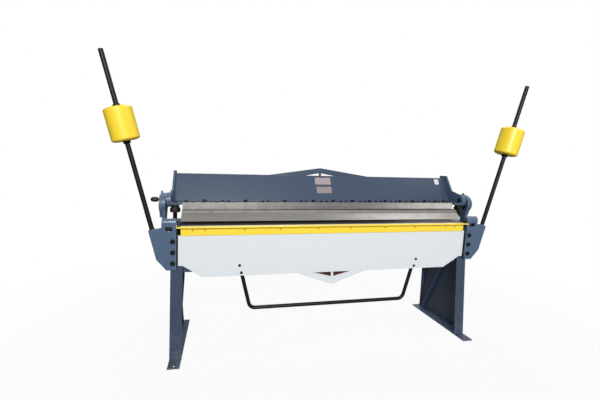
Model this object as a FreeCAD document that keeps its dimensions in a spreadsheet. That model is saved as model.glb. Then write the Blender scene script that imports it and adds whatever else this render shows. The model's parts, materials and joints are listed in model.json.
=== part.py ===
import FreeCAD, Part
import math
import os
import re
import Sketcher

V = FreeCAD.Vector
os.makedirs("parts", exist_ok=True)
doc = FreeCAD.newDocument("box_and_pan_brake")

# Every driving size in millimetres or degrees: word, value, what it measures.
SIZES = (
    ("bed_height", 873.0, "floor up to the bend line"),
    ("row_middle", 237.84, "bend line back to the middle of the whole outline"),
    ("rest_tilt", 5.15, "backward lean of the hanging leaf at rest"),
    ("body_gap", 0.3, "gap between pieces that move past each other"),
    ("running", 0.05, "radial running clearance of the bearings"),
    ("bolt_gap", 0.1, "radial clearance round bolts and pins"),
    ("work_half", 1020.0, "half of the working length"),
    # legs and feet
    ("leg_inset", 17.0, "working edge in to the leg's inner edge"),
    ("leg_width", 75.0, "width of the leg's front flange"),
    ("leg_front", 32.7, "bend line back to the leg's front face"),
    ("leg_wall", 8.0, "plate thickness of the leg"),
    ("leg_drop", 73.0, "bend line down to the leg's top"),
    ("leg_waist", 400.0, "floor up to where the rear edge starts to flare"),
    ("leg_rear_top", 475.0, "bend line back to the rear edge at the top"),
    ("leg_rear_waist", 539.7, "bend line back to the rear edge at the waist"),
    ("leg_rear_foot", 605.7, "bend line back to the rear edge at the foot"),
    ("rear_lip", 40.0, "inward width of the rear flange"),
    ("rear_lip_foot", 14.0, "inward width of the rear flange at the foot"),
    ("foot_thick", 8.0, "thickness of the foot plate"),
    ("foot_front", 68.3, "bend line forward to the foot's front end"),
    ("foot_rear", 623.7, "bend line back to the foot's rear end"),
    ("anchor_inset", 26.0, "foot end to the anchor hole"),
    ("anchor_r", 9.0, "radius of the anchor holes"),
    ("brace_top_y", 100.0, "bend line back to the brace's upper end"),
    ("brace_drop", 36.0, "leg's top down to the brace's upper end"),
    ("brace_foot_y", 551.0, "bend line back to the brace's lower end"),
    ("brace_thick", 10.0, "thickness of the brace"),
    ("brace_width", 26.0, "inward width of the brace"),
    # bed
    ("bar_depth", 200.0, "front to back depth of the bed bar"),
    ("bar_thick", 25.0, "thickness of the bed bar"),
    ("bar_bevel", 4.0, "backward bevel of the bed bar's front face"),
    ("web_front", 66.0, "bend line back to the bed web"),
    ("web_thick", 10.0, "thickness of the bed web"),
    ("web_drop", 313.0, "bend line down to the underside of the bed web"),
    ("web_lip", 240.0, "bend line back to the lower lip's edge"),
    ("bed_apex_drop", 418.0, "bend line down to the point of the bed truss"),
    ("bed_truss_half", 230.0, "half width of the bed truss"),
    ("rib_pitch", 500.0, "distance between the bed ribs"),
    ("rib_thick", 10.0, "thickness of the bed ribs"),
    ("cheek_thick", 16.0, "thickness of the bed end cheek"),
    ("nose_drop", 63.0, "bend line down to where the cheek's nose starts"),
    ("cheek_depth", 273.0, "bend line down to the cheek's lower edge"),
    ("cheek_rise", 60.0, "rise of the cheek's lower edge to the back"),
    ("cheek_back", 350.0, "bend line back to the cheek's rear edge"),
    ("shelf_front", 75.0, "bend line back to the front of the cheek's flange"),
    ("shelf_thick", 24.0, "thickness of the cheek's flange"),
    ("lug_r", 18.0, "radius of the hinge lug"),
    ("pad_width", 63.0, "width of the bed end's bolting pad"),
    ("pad_thick", 12.0, "thickness of the bed end's bolting pad"),
    ("pin_r", 12.0, "radius of the hinge pins"),
    ("pin_len", 105.0, "length of the hinge pins"),
    ("frame_head_r", 10.0, "radius of the frame bolt heads"),
    ("frame_head", 7.0, "height of the frame bolt heads"),
    ("frame_bolt_in", 50.0, "leg's inner edge out to the frame bolts"),
    ("frame_bolt_drop", 22.0, "leg top down to the first frame bolt"),
    ("frame_bolt_pitch", 78.0, "distance between the frame bolts"),
    # link arms
    ("arm_stand", 43.0, "leg's outer face out to the link arm"),
    ("arm_thick", 23.0, "thickness of the link arm's shank"),
    ("arm_half", 28.0, "half width of the link arm's shank"),
    ("arm_drop", 173.0, "bend line down to the link arm's lower end"),
    ("arm_block", 66.0, "height of the link arm's bolting block"),
    ("cheek_drop", 38.0, "head centre down to where its sides start to taper"),
    ("neck_drop", 112.0, "head centre down to the end of the taper"),
    ("head_r", 69.0, "outer radius of the link arm's head"),
    ("head_len", 30.0, "length of the link arm's head"),
    ("arm_bolt_pitch", 34.0, "distance between the link arm's bolts"),
    # clamp movement
    ("throw", 24.0, "offset of the eccentric"),
    ("dead_lean", 8.0, "angle of the raised eccentric past its top"),
    ("set_back", 3.0, "clamped finger nose behind the bend line"),
    ("disc_r", 45.0, "bore of the link arm's head"),
    ("journal_r", 20.0, "radius of the eccentric's journal"),
    ("boss_y", 114.7, "finger nose back to the beam boss"),
    ("boss_z", 129.7, "finger nose up to the beam boss"),
    ("boss_r", 48.0, "outer radius of the beam boss"),
    ("lever_half", 92.0, "hub centre to the lever's upper tip"),
    ("lever_angle", 61.6, "upward angle of the lever"),
    ("lever_thick", 10.0, "thickness of the lever"),
    ("lever_drop", 93.0, "hub centre down to the lever's lower end"),
    ("lever_hub_r", 62.0, "radius of the lever's hub"),
    ("lever_root", 26.0, "half width of the lever near the hub"),
    ("lever_tip", 13.0, "half width of the lever's upper tip"),
    ("lever_foot", 18.0, "half width of the lever's lower end"),
    ("grip_along", 28.4, "hub centre to the grip along the lever"),
    ("grip_stem_r", 7.0, "radius of the grip's stem"),
    ("grip_stem", 17.0, "length of the grip's stem"),
    ("grip_r", 16.5, "radius of the grip"),
    ("grip_len", 45.0, "length of the grip"),
    # folding leaf
    ("leaf_play", 6.4, "working edge in to the leaf's upper corner"),
    ("leaf_wing", 9.7, "working edge out to the leaf's side"),
    ("leaf_inset", 17.0, "working edge in to the leaf's lower side"),
    ("leaf_corner", 141.2, "working edge in to the leaf's bottom corner"),
    ("leaf_thick", 8.0, "thickness of the leaf plate"),
    ("notch_drop", 60.0, "leaf's top down to its wider part"),
    ("step_drop", 257.0, "leaf's top down to the end of its wider part"),
    ("leaf_depth", 338.0, "leaf's top down to its bottom edge"),
    ("angle_drop", 60.0, "height of the angle bar's upright leg"),
    ("angle_thick", 6.0, "thickness of the angle bar's upright leg"),
    ("angle_lip", 5.0, "thickness of the angle bar's upper leg"),
    ("angle_reach", 42.7, "bend line forward to the upper leg's edge"),
    ("angle_tab", 16.8, "working edge out to the upper leg's tips"),
    ("angle_tab_back", 20.0, "bend line forward to the tips' rear edge"),
    ("screw_drop", 24.0, "leaf's top down to the angle bar's screws"),
    ("screw_head_r", 7.0, "radius of the screws' heads"),
    ("screw_head", 2.5, "height of the screws' heads"),
    ("screw_x1", 118.0, "middle out to the first screw"),
    ("screw_x2", 377.0, "middle out to the second screw"),
    ("screw_x3", 615.0, "middle out to the third screw"),
    ("screw_in4", 155.0, "working edge in to the fourth screw"),
    ("screw_in5", 80.0, "working edge in to the fifth screw"),
    ("truss_half", 250.0, "half width of the leaf truss"),
    ("truss_drop", 90.0, "height of the leaf truss"),
    ("truss_open", 137.0, "middle out to the end of a truss opening"),
    ("truss_open_rise", 33.0, "height of a truss opening at the post"),
    ("truss_post", 9.0, "half width of the truss post"),
    ("end_bar_thick", 9.7, "thickness of the leaf's end bars"),
    ("end_bar_out", 58.0, "working edge out to the end bar's outer edge"),
    ("knuckle_gap", 3.0, "bed cheek out to the knuckle"),
    ("knuckle_len", 87.0, "length of the knuckle"),
    ("knuckle_back", 22.0, "bend line back to the knuckle's rear face"),
    ("knuckle_top", 49.0, "bend line up to the knuckle's top"),
    ("knuckle_foot", 40.0, "bend line down to the knuckle's foot"),
    ("window_half", 21.0, "half width of the knuckle's window"),
    ("window_r", 13.0, "half height of the knuckle's window"),
    ("window_drop", 12.0, "bend line down to the knuckle's window"),
    ("bracket_thick", 16.0, "thickness of the bracket plate"),
    ("bracket_drop", 278.0, "bend line down to the bracket's toe"),
    ("bracket_toe", 58.0, "width of the bracket's toe"),
    ("bracket_bend", 118.0, "bracket's inner edge out to its bend"),
    ("bracket_bend_drop", 206.0, "bend line down to the bracket's bend"),
    ("bracket_reach", 163.5, "bracket's inner edge out to its outer corner"),
    ("bracket_reach_drop", 24.0, "bend line down to the outer corner"),
    ("bracket_crown", 5.0, "bend line down to the bracket's crown"),
    ("bracket_bolt_in", 19.7, "bracket's inner edge out to its bolts"),
    ("bracket_bolt_drop", 90.0, "bend line down to the first bracket bolt"),
    ("bracket_bolt_pitch", 70.5, "distance between the bracket bolts"),
    ("bracket_head_r", 15.0, "radius of the bracket bolt heads"),
    ("bracket_head", 12.0, "height of the bracket bolt heads"),
    # counterweights
    ("rod_out", 168.0, "working edge out to the rod at the bend line"),
    ("rod_front", 5.0, "bend line forward to the rod's axis"),
    ("rod_lean", 14.27, "outward lean of the rods"),
    ("rod_r", 14.0, "radius of the rods"),
    ("rod_len", 1069.0, "bend line up along the rod to its top"),
    ("rod_foot", 118.0, "bend line down along the rod to its foot"),
    ("socket_r", 20.0, "outer radius of the rod socket"),
    ("socket_wall", 8.0, "floor of the rod socket"),
    ("socket_drop", 17.0, "bend line down along the rod to the socket's top"),
    ("weight_r", 79.0, "radius of the counterweights"),
    ("weight_len", 204.0, "length of the counterweights"),
    ("weight_up", 639.0, "bend line up along the rod to the weight's middle"),
    ("collar_r", 21.0, "radius of the weight collars"),
    ("collar_len", 14.0, "length of the weight collars"),
    # pull handle
    ("tube_r", 12.5, "radius of the handle tube"),
    ("handle_top_x", 650.0, "middle out to the handle's upper end"),
    ("handle_top_drop", 236.0, "leaf's top down to the handle's upper end"),
    ("handle_foot_x", 566.5, "middle out to the handle's lower corner"),
    ("handle_drop", 576.0, "leaf's top down to the handle's lower bar"),
    ("handle_bend", 46.0, "bend radius of the handle"),
    ("handle_bolt_drop", 267.0, "leaf's top down to the upper handle bolt"),
    ("handle_bolt_pitch", 50.0, "height between the handle bolts"),
    ("handle_head_r", 9.0, "radius of the handle bolt heads"),
    ("handle_head", 6.0, "height of the handle bolt heads"),
    # clamping beam
    ("beam_half_out", 70.0, "working edge out to the beam's end plate"),
    ("plate_z", 98.0, "finger nose up to the base plate's underside"),
    ("plate_thick", 15.0, "thickness of the base plate"),
    ("plate_y", 107.0, "finger nose back to the base plate's front edge"),
    ("plate_back", 275.0, "finger nose back to the base plate's rear edge"),
    ("ear_in", 8.0, "working edge out to the base plate's ear"),
    ("ear_y", 76.0, "finger nose back to the ear's front edge"),
    ("stop_y", 91.0, "finger nose back to the height stop screw"),
    ("stop_x", 36.0, "ear's inner edge out to the height stop screw"),
    ("stop_r", 14.0, "radius of the height stop screws"),
    ("stop_top", 119.0, "finger nose up to the screw's top"),
    ("stop_block_r", 33.0, "radius of the stop screws' large nuts"),
    ("stop_block_z", 50.0, "finger nose up to the large nuts' underside"),
    ("stop_block", 31.0, "height of the large nuts"),
    ("stop_collar_r", 25.0, "radius of the stop screws' collars"),
    ("face_foot", 236.0, "finger nose back to the face plate's foot"),
    ("face_top_y", 319.0, "finger nose back to the face plate's top"),
    ("face_top_z", 304.0, "finger nose up to the face plate's top"),
    ("face_thick", 10.0, "level thickness of the face plate"),
    ("face_lip", 40.0, "depth of the face plate's upper lip"),
    ("truss_thick", 10.0, "thickness of the beam truss"),
    ("arch_half", 407.0, "half width of the beam truss"),
    ("arch_rise", 61.0, "height of the beam truss"),
    ("arch_open", 117.0, "middle out to the end of a beam truss opening"),
    ("arch_open_rise", 19.0, "height of a beam truss opening at the post"),
    ("end_thick", 12.0, "thickness of the beam's end plate"),
    ("end_top_z", 324.0, "finger nose up to the end plate's top"),
    ("end_top_y", 283.0, "finger nose back to the end plate's top corner"),
    ("end_back", 370.0, "finger nose back to the end plate's rear edge"),
    ("end_knee_y", 209.0, "finger nose back to the end plate's knee"),
    ("end_knee_z", 201.0, "finger nose up to the end plate's knee"),
    ("beam_rib_pitch", 408.0, "distance between the beam ribs"),
    # fingers
    ("finger_gap", 0.5, "gap between neighbouring fingers"),
    ("row_play", 1.0, "working edge in to the first finger"),
    ("finger_slope_y", 41.4, "finger nose back to the first slope's end"),
    ("finger_slope_z", 40.0, "finger nose up to the first slope's end"),
    ("finger_brow_y", 52.0, "finger nose back to the second slope's end"),
    ("finger_brow_z", 64.0, "finger nose up to the second slope's end"),
    ("finger_face_y", 95.0, "finger nose back to its upright face"),
    ("finger_top_z", 113.0, "finger nose up to its top"),
    ("finger_heel_y", 170.0, "finger nose back to its rear end"),
    ("finger_heel_z", 66.0, "finger nose up to its rear underside"),
    ("finger_belly_y", 112.0, "finger nose back to the belly's end"),
    ("finger_toe", 12.0, "depth of the finger's clamping toe"),
    ("finger_bolt_y", 155.0, "finger nose back to its bolt"),
    ("finger_head_r", 13.0, "radius of the finger bolt heads"),
    ("finger_head", 16.0, "height of the finger bolt heads"),
    ("nib_y", 138.0, "finger nose back to its setting screws"),
    ("nib_in", 20.0, "finger's side in to its setting screw"),
    ("nib_r", 8.0, "radius of the setting screws' heads"),
    ("nib_head", 9.0, "height of the setting screws' heads"),
)

sheet = doc.addObject("Spreadsheet::Sheet", "Sizes")
for row, (word, value, note) in enumerate(SIZES, 1):
    sheet.set("A%d" % row, note)
    sheet.set("B%d" % row, str(value))
    sheet.setAlias("B%d" % row, word)
doc.recompute()

WORDS = re.compile(r"\b(" + "|".join(word for word, value, note in SIZES) + r")\b")

# Places worked out from the sizes. Across: x to the right of the middle.
LEG_IN = "(work_half - leg_inset)"
LEG_OUT = "(work_half - leg_inset + leg_width)"
CHEEK_OUT = "(work_half + cheek_thick)"
KNUCKLE_IN = "(work_half + cheek_thick + knuckle_gap)"
KNUCKLE_OUT = "(work_half + cheek_thick + knuckle_gap + knuckle_len)"
ARM_IN = "(%s + arm_stand)" % LEG_OUT
BEAM_HALF = "(work_half + beam_half_out)"
BOSS_OUT = "(%s - body_gap - running)" % ARM_IN
BOSS_LEN = "(%s - %s)" % (BOSS_OUT, BEAM_HALF)
JOURNAL_IN = "(%s + body_gap)" % BEAM_HALF
LEVER_IN = "(%s + head_len + body_gap)" % ARM_IN
ROD_X = "(work_half + rod_out)"
# From the bend line: y to the back, z up.
LEG_BACK = "(leg_front + leg_wall)"
PAD_BACK = "(leg_front + leg_wall + pad_thick)"
LEG_TOP = "(bed_height - leg_drop)"
ARM_FOOT = "(bed_height - arm_drop)"
BAR_UNDER = "(bed_height - bar_thick)"
WEB_FOOT = "(bed_height - web_drop)"
CHEEK_FOOT = "(bed_height - cheek_depth)"
WEB_BACK = "(web_front + web_thick)"
NOSE_Y = "(set_back + throw * (1 + sin(dead_lean)))"
NOSE_Z = "(body_gap + throw * cos(dead_lean))"
HEAD_Y = "(set_back + throw + boss_y)"
HEAD_Z = "(bed_height + body_gap + boss_z)"
LEAF_FRONT = "(body_gap + leaf_thick)"
ANGLE_FRONT = "(body_gap + leaf_thick + angle_thick)"
BRACKET_REAR = "(body_gap + end_bar_thick)"
BRACKET_FRONT = "(body_gap + end_bar_thick + bracket_thick)"
PLATE_TOP = "(plate_z + plate_thick)"
FACE_SLOPE = "((face_top_y - face_foot) / (face_top_z - plate_z - plate_thick))"
FACE_TILT = "atan(%s)" % FACE_SLOPE

FRAME = "placement(vector(0; -row_middle; 0); rotation(vector(1; 0; 0); 0))"
LEAF = "placement(vector(0; -row_middle; bed_height); rotation(vector(1; 0; 0); rest_tilt))"
BEAM = ("placement(vector(0; %s - row_middle; bed_height + %s); rotation(vector(1; 0; 0); 0))"
        % (NOSE_Y, NOSE_Z))
ROD = ("placement(vector(%s; -rod_front; 0); rotation(vector(0; 1; 0); rod_lean))" % ROD_X)


def bound(text):
    """The expression with every size word pointing at its cell."""
    return WORDS.sub(r"Sizes.\1", text)


def spot(x="0", y="0", z="0", axis="1; 0; 0", turn="0"):
    """A placement expression at a point, turned about an axis."""
    return "placement(vector(%s; %s; %s); rotation(vector(%s); %s))" % (x, y, z, axis, turn)


def tie(obj, **links):
    """Bind properties of an object to expressions."""
    for prop, text in links.items():
        obj.setExpression(prop.replace("__", "."), bound(text))
    return obj


def new_body(name, place):
    body = doc.addObject("PartDesign::Body", name)
    tie(body, Placement=place)
    return body


def drawn(body, plane, loops=(), rings=(), lift="0"):
    """A sketch of closed outlines and circles, every point bound to the sizes."""
    sketch = body.newObject("Sketcher::SketchObject", body.Name + "_lines")
    role = plane + "_Plane"
    support = [feature for feature in body.Origin.OriginFeatures if feature.Role == role][0]
    sketch.AttachmentSupport = [(support, "")]
    sketch.MapMode = "FlatFace"
    tie(sketch, AttachmentOffset__Base__z=lift)
    for points in loops:
        count = len(points)
        turn = [FreeCAD.Rotation(V(0, 0, 1), 360.0 * k / count).multVec(V(60, 0, 0))
                for k in range(count)]
        lines = [sketch.addGeometry(Part.LineSegment(turn[k], turn[(k + 1) % count]), False)
                 for k in range(count)]
        for k in range(count):
            after = lines[(k + 1) % count]
            sketch.addConstraint(Sketcher.Constraint("Coincident", lines[k], 2, after, 1))
        for line, (across, up) in zip(lines, points):
            fix(sketch, "DistanceX", line, 1, across)
            fix(sketch, "DistanceY", line, 1, up)
    for across, up, radius in rings:
        ring = sketch.addGeometry(Part.Circle(V(5, 5, 0), V(0, 0, 1), 2.0), False)
        fix(sketch, "DistanceX", ring, 3, across)
        fix(sketch, "DistanceY", ring, 3, up)
        index = sketch.addConstraint(Sketcher.Constraint("Radius", ring, 2.0))
        sketch.setExpression("Constraints[%d]" % index, bound(radius))
    return sketch


def fix(sketch, kind, geometry, point, text):
    """Bind one coordinate of a sketch point, measured from the origin."""
    index = sketch.addConstraint(Sketcher.Constraint(kind, -1, 1, geometry, point, 1.0))
    sketch.setExpression("Constraints[%d]" % index, bound(text))


def grow(body, sketch, length):
    """Pad the sketch along its plane's normal."""
    pad = body.newObject("PartDesign::Pad", body.Name + "_pad")
    pad.Profile = sketch
    tie(pad, Length=length)
    return pad


def sink(body, sketch, length):
    """Pocket the sketch against its plane's normal."""
    pocket = body.newObject("PartDesign::Pocket", body.Name + "_pocket")
    pocket.Profile = sketch
    tie(pocket, Length=length)
    return pocket


def plate(name, place, plane, points, thick, lift="0", rings=()):
    """A flat piece: one outline with holes, padded to its thickness."""
    body = new_body(name, place)
    grow(body, drawn(body, plane, [points], rings, lift), thick)
    return body


def rod(name, place, radius, length):
    cylinder = doc.addObject("Part::Cylinder", name)
    return tie(cylinder, Radius=radius, Height=length, Placement=place)


def hexagon(name, place, radius, length, sides=6):
    prism = doc.addObject("Part::Prism", name)
    prism.Polygon = sides
    return tie(prism, Circumradius=radius, Height=length, Placement=place)


def joined(name, pieces):
    union = doc.addObject("Part::MultiFuse", name)
    union.Shapes = pieces
    return union


def drilled(name, base, tool):
    cut = doc.addObject("Part::Cut", name)
    cut.Base = base
    cut.Tool = tool
    return cut


def group(name, pieces):
    compound = doc.addObject("Part::Compound", name)
    compound.Links = pieces
    return compound


def other_side(name, source):
    """The same piece mirrored to the left."""
    mirror = doc.addObject("Part::Mirroring", name)
    mirror.Source = source
    mirror.Base = V(0, 0, 0)
    mirror.Normal = V(1, 0, 0)
    return mirror


def both_sides(name, pieces):
    """A group of the right pieces and their mirror images."""
    mirrors = [other_side(piece.Name + "_left", piece) for piece in pieces]
    return group(name, pieces + mirrors)


nodes = {}


def keep(label, obj):
    obj.Label = label
    nodes[label] = obj
    return obj


def keep_pair(label, right):
    """Keep a right piece and its left mirror image."""
    keep("right_" + label, right)
    return keep("left_" + label, other_side("left_" + label, right))


# ---- legs and feet ----
foot = plate("foot_right", FRAME, "XY", [
    (LEG_IN, "-foot_front"), (LEG_OUT, "-foot_front"),
    (LEG_OUT, "foot_rear"), (LEG_IN, "foot_rear")], "foot_thick", rings=[
    ("%s + leg_width / 2" % LEG_IN, "anchor_inset - foot_front", "anchor_r"),
    ("%s + leg_width / 2" % LEG_IN, "foot_rear - anchor_inset", "anchor_r")])
keep_pair("foot_plate", foot)

leg = new_body("leg_right", FRAME)
rear_edge = [("leg_rear_foot", "foot_thick"), ("leg_rear_waist", "leg_waist"),
             ("leg_rear_top", LEG_TOP)]
grow(leg, drawn(leg, "YZ", [[("leg_front", "foot_thick")] + rear_edge + [("leg_front", LEG_TOP)]],
                lift="%s - leg_wall" % LEG_OUT), "leg_wall")
grow(leg, drawn(leg, "YZ", [[("leg_front", "foot_thick"), (LEG_BACK, "foot_thick"),
                             (LEG_BACK, LEG_TOP), ("leg_front", LEG_TOP)]],
                lift=LEG_IN), "leg_width")
inner_edge = [("%s - leg_wall" % across, up) for across, up in reversed(rear_edge)]
grow(leg, drawn(leg, "YZ", [rear_edge + inner_edge],
                lift="%s - rear_lip" % LEG_OUT), "rear_lip")
sink(leg, drawn(leg, "XZ", [[("%s - rear_lip - body_gap" % LEG_OUT, "leg_waist"),
                             ("%s - rear_lip - body_gap" % LEG_OUT, "0"),
                             ("%s - rear_lip_foot" % LEG_OUT, "0")]],
                lift="-%s - leg_wall" % LEG_BACK), "foot_rear")
frame_spots = [("%s + frame_bolt_in" % LEG_IN,
                "%s - frame_bolt_drop - %d * frame_bolt_pitch" % (LEG_TOP, k)) for k in range(3)]
arm_spots = [(HEAD_Y, "%s + arm_block / 2 + %s * arm_bolt_pitch / 2" % (ARM_FOOT, side))
             for side in ("1", "-1")]
keep_pair("leg", leg)

brace = plate("brace_right", FRAME, "YZ", [
    ("brace_top_y", "%s - brace_drop" % LEG_TOP), ("brace_foot_y", "foot_thick"),
    ("brace_foot_y + brace_thick", "foot_thick"),
    ("brace_top_y + brace_thick", "%s - brace_drop" % LEG_TOP)],
    "brace_width", lift="%s - leg_wall - brace_width" % LEG_OUT)
keep_pair("leg_brace", brace)

# ---- bed ----
keep("bed_top_bar", plate("bed_top_bar", FRAME, "YZ", [
    ("0", "bed_height"), ("bar_depth", "bed_height"), ("bar_depth", BAR_UNDER),
    ("bar_bevel", BAR_UNDER)], "2 * work_half", lift="-work_half"))
keep("bed_web", plate("bed_web", FRAME, "YZ", [
    ("web_front", BAR_UNDER), (WEB_BACK, BAR_UNDER), (WEB_BACK, "%s + web_thick" % WEB_FOOT),
    ("web_lip", "%s + web_thick" % WEB_FOOT), ("web_lip", WEB_FOOT), ("web_front", WEB_FOOT)],
    "2 * work_half", lift="-work_half"))
keep("bed_truss", plate("bed_truss", FRAME, "XZ", [
    ("-bed_truss_half", WEB_FOOT), ("0", "bed_height - bed_apex_drop"),
    ("bed_truss_half", WEB_FOOT)],
    "web_thick", lift="-%s" % WEB_BACK))
bed_ribs = [plate("bed_rib_%d" % k, FRAME, "YZ", [
    (WEB_BACK, "%s + web_thick" % WEB_FOOT), ("web_lip", "%s + web_thick" % WEB_FOOT),
    ("bar_depth", BAR_UNDER), (WEB_BACK, BAR_UNDER)], "rib_thick",
    lift="%d * rib_pitch - rib_thick / 2" % (k - 1)) for k in range(3)]
keep("bed_ribs", group("bed_ribs", bed_ribs))

bed_end = new_body("bed_end_right", FRAME)
grow(bed_end, drawn(bed_end, "YZ", [[
    ("0", "bed_height - lug_r"), (LEG_BACK, "bed_height - nose_drop"), (LEG_BACK, CHEEK_FOOT),
    ("cheek_back", "%s + cheek_rise" % CHEEK_FOOT), ("cheek_back", "bed_height"),
    ("0", "bed_height")]], lift="work_half"), "cheek_thick")
grow(bed_end, drawn(bed_end, "YZ", [[
    ("shelf_front", "bed_height - shelf_thick"), ("cheek_back", "bed_height - shelf_thick"),
    ("cheek_back", "bed_height"), ("shelf_front", "bed_height")]], lift=CHEEK_OUT),
     "%s - %s - body_gap" % (ARM_IN, CHEEK_OUT))
grow(bed_end, drawn(bed_end, "YZ", rings=[("0", "bed_height", "lug_r")], lift="work_half"),
     "cheek_thick")
grow(bed_end, drawn(bed_end, "YZ", [[
    (LEG_BACK, CHEEK_FOOT), (PAD_BACK, CHEEK_FOOT), (PAD_BACK, LEG_TOP),
    (LEG_BACK, LEG_TOP)]], lift=LEG_IN), "pad_width")
sink(bed_end, drawn(bed_end, "YZ", rings=[("0", "bed_height", "pin_r + bolt_gap")],
                    lift=CHEEK_OUT), "cheek_thick")
keep_pair("bed_end", bed_end)

pin = rod("hinge_pin", FRAME + " * " + spot("work_half", "0", "bed_height", "0; 1; 0", "90"),
          "pin_r", "pin_len")
keep("hinge_pins", both_sides("hinge_pins", [pin]))

# ---- link arms ----
arm = new_body("arm_right", FRAME)
grow(arm, drawn(arm, "YZ", [[
    ("%s - arm_half" % HEAD_Y, ARM_FOOT), ("%s + arm_half" % HEAD_Y, ARM_FOOT),
    ("%s + arm_half" % HEAD_Y, "%s - neck_drop" % HEAD_Z),
    ("%s + head_r * 0.83" % HEAD_Y, "%s - cheek_drop" % HEAD_Z), (HEAD_Y, HEAD_Z),
    ("%s - head_r * 0.83" % HEAD_Y, "%s - cheek_drop" % HEAD_Z),
    ("%s - arm_half" % HEAD_Y, "%s - neck_drop" % HEAD_Z)]],
    lift=ARM_IN), "arm_thick")
grow(arm, drawn(arm, "YZ", rings=[(HEAD_Y, HEAD_Z, "head_r")], lift=ARM_IN), "head_len")
grow(arm, drawn(arm, "YZ", [[
    ("%s - arm_half" % HEAD_Y, ARM_FOOT), ("%s + arm_half" % HEAD_Y, ARM_FOOT),
    ("%s + arm_half" % HEAD_Y, "%s + arm_block" % ARM_FOOT),
    ("%s - arm_half" % HEAD_Y, "%s + arm_block" % ARM_FOOT)]], lift=LEG_OUT), "arm_stand")
sink(arm, drawn(arm, "YZ", rings=[(HEAD_Y, HEAD_Z, "disc_r")],
                lift="%s + head_len" % ARM_IN), "head_len")
keep_pair("link_arm", arm)

frame_bolts = []
for k, (across, up) in enumerate(frame_spots):
    at = FRAME + " * " + spot(across, "leg_front - frame_head", up, "1; 0; 0", "-90")
    frame_bolts.append(hexagon("frame_head_%d" % k, at, "frame_head_r", "frame_head"))
for k, (across, up) in enumerate(arm_spots):
    at = FRAME + " * " + spot("%s + arm_thick" % ARM_IN, across, up, "0; 1; 0", "90")
    frame_bolts.append(hexagon("arm_head_%d" % k, at, "frame_head_r", "frame_head"))
keep("frame_bolts", both_sides("frame_bolts", frame_bolts))

# ---- eccentrics, levers and grip ----
eccentric = new_body("eccentric_right", FRAME + " * " + spot("0", HEAD_Y, HEAD_Z))
grow(eccentric, drawn(eccentric, "YZ", rings=[("0", "0", "disc_r - running")],
                      lift="%s - running" % ARM_IN), "head_len + body_gap + running")
grow(eccentric, drawn(eccentric, "YZ", rings=[
    ("throw * sin(dead_lean)", "throw * cos(dead_lean)", "journal_r")], lift=JOURNAL_IN),
    "%s - %s" % (ARM_IN, JOURNAL_IN))
keep_pair("eccentric", eccentric)

# The lever lies along its own y axis; its lower end hangs straight down.
lever = new_body("lever_right", FRAME + " * " + spot("0", HEAD_Y, HEAD_Z, "1; 0; 0", "lever_angle"))
grow(lever, drawn(lever, "YZ", rings=[("0", "0", "lever_hub_r")], lift=LEVER_IN), "lever_thick")
grow(lever, drawn(lever, "YZ", [[
    ("0", "-lever_root"), ("lever_half - lever_tip", "-lever_tip"),
    ("lever_half", "-lever_tip / 2"), ("lever_half", "lever_tip / 2"),
    ("lever_half - lever_tip", "lever_tip"), ("0", "lever_root")]],
    lift=LEVER_IN), "lever_thick")
grow(lever, drawn(lever, "YZ", [[
    ("%s * cos(lever_angle) - %s * sin(lever_angle)" % (across, down),
     "-(%s) * sin(lever_angle) - %s * cos(lever_angle)" % (across, down))
    for across, down in (("lever_root", "0"), ("lever_foot", "lever_drop"),
                         ("-lever_foot", "lever_drop"), ("-lever_root", "0"))]],
    lift=LEVER_IN), "lever_thick")
keep_pair("clamp_lever", lever)

GRIP_IN = "(%s + lever_thick + grip_stem)" % LEVER_IN
grip_spot = "%s + grip_along * cos(lever_angle)" % HEAD_Y, "%s + grip_along * sin(lever_angle)" % HEAD_Z
grip_stem = rod("grip_stem_bar", FRAME + " * " + spot(
    "%s - grip_stem" % GRIP_IN, *grip_spot, "0; 1; 0", "90"), "grip_stem_r", "grip_stem")
grip_knob = rod("grip_knob", FRAME + " * " + spot(GRIP_IN, *grip_spot, "0; 1; 0", "90"),
                "grip_r", "grip_len")
grip = joined("grip_right", [grip_stem, grip_knob])
keep("clamp_grip", other_side("clamp_grip", grip))

# ---- folding leaf ----
screw_xs = ["%s(%s)" % (side, across) for side in ("", "-") for across in (
    "screw_x1", "screw_x2", "screw_x3", "work_half - screw_in4", "work_half - screw_in5")]
half_outline = [
    ("work_half - leaf_play", "0"), ("work_half - leaf_play", "-notch_drop"),
    ("work_half + leaf_wing", "-notch_drop"), ("work_half + leaf_wing", "-step_drop"),
    ("work_half - leaf_inset", "-step_drop"), ("work_half - leaf_corner", "-leaf_depth")]
leaf_outline = half_outline + [("-(%s)" % across, up) for across, up in reversed(half_outline)]
HANDLE_SLOPE = "((handle_top_x - handle_foot_x) / (handle_drop - handle_top_drop))"
handle_spots = [("handle_top_x - %s * (%s - handle_top_drop)" % (HANDLE_SLOPE, drop), drop)
                for drop in ("handle_bolt_drop", "(handle_bolt_drop + handle_bolt_pitch)")]
keep("leaf_plate", plate("leaf_plate", LEAF, "XZ", leaf_outline, "leaf_thick", lift="body_gap"))

angle = new_body("angle_bar", LEAF)
grow(angle, drawn(angle, "YZ", [[
    ("-%s" % LEAF_FRONT, "0"), ("-%s" % LEAF_FRONT, "-angle_drop"),
    ("-%s" % ANGLE_FRONT, "-angle_drop"), ("-%s" % ANGLE_FRONT, "-angle_lip"),
    ("-angle_reach", "-angle_lip"), ("-angle_reach", "0")]],
    lift="leaf_play - work_half"), "2 * (work_half - leaf_play)")
grow(angle, drawn(angle, "YZ", [[
    ("-angle_reach", "-angle_lip"), ("-angle_tab_back", "-angle_lip"),
    ("-angle_tab_back", "0"), ("-angle_reach", "0")]],
    lift="-work_half - angle_tab"), "2 * (work_half + angle_tab)")
keep("angle_bar", angle)

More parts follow.
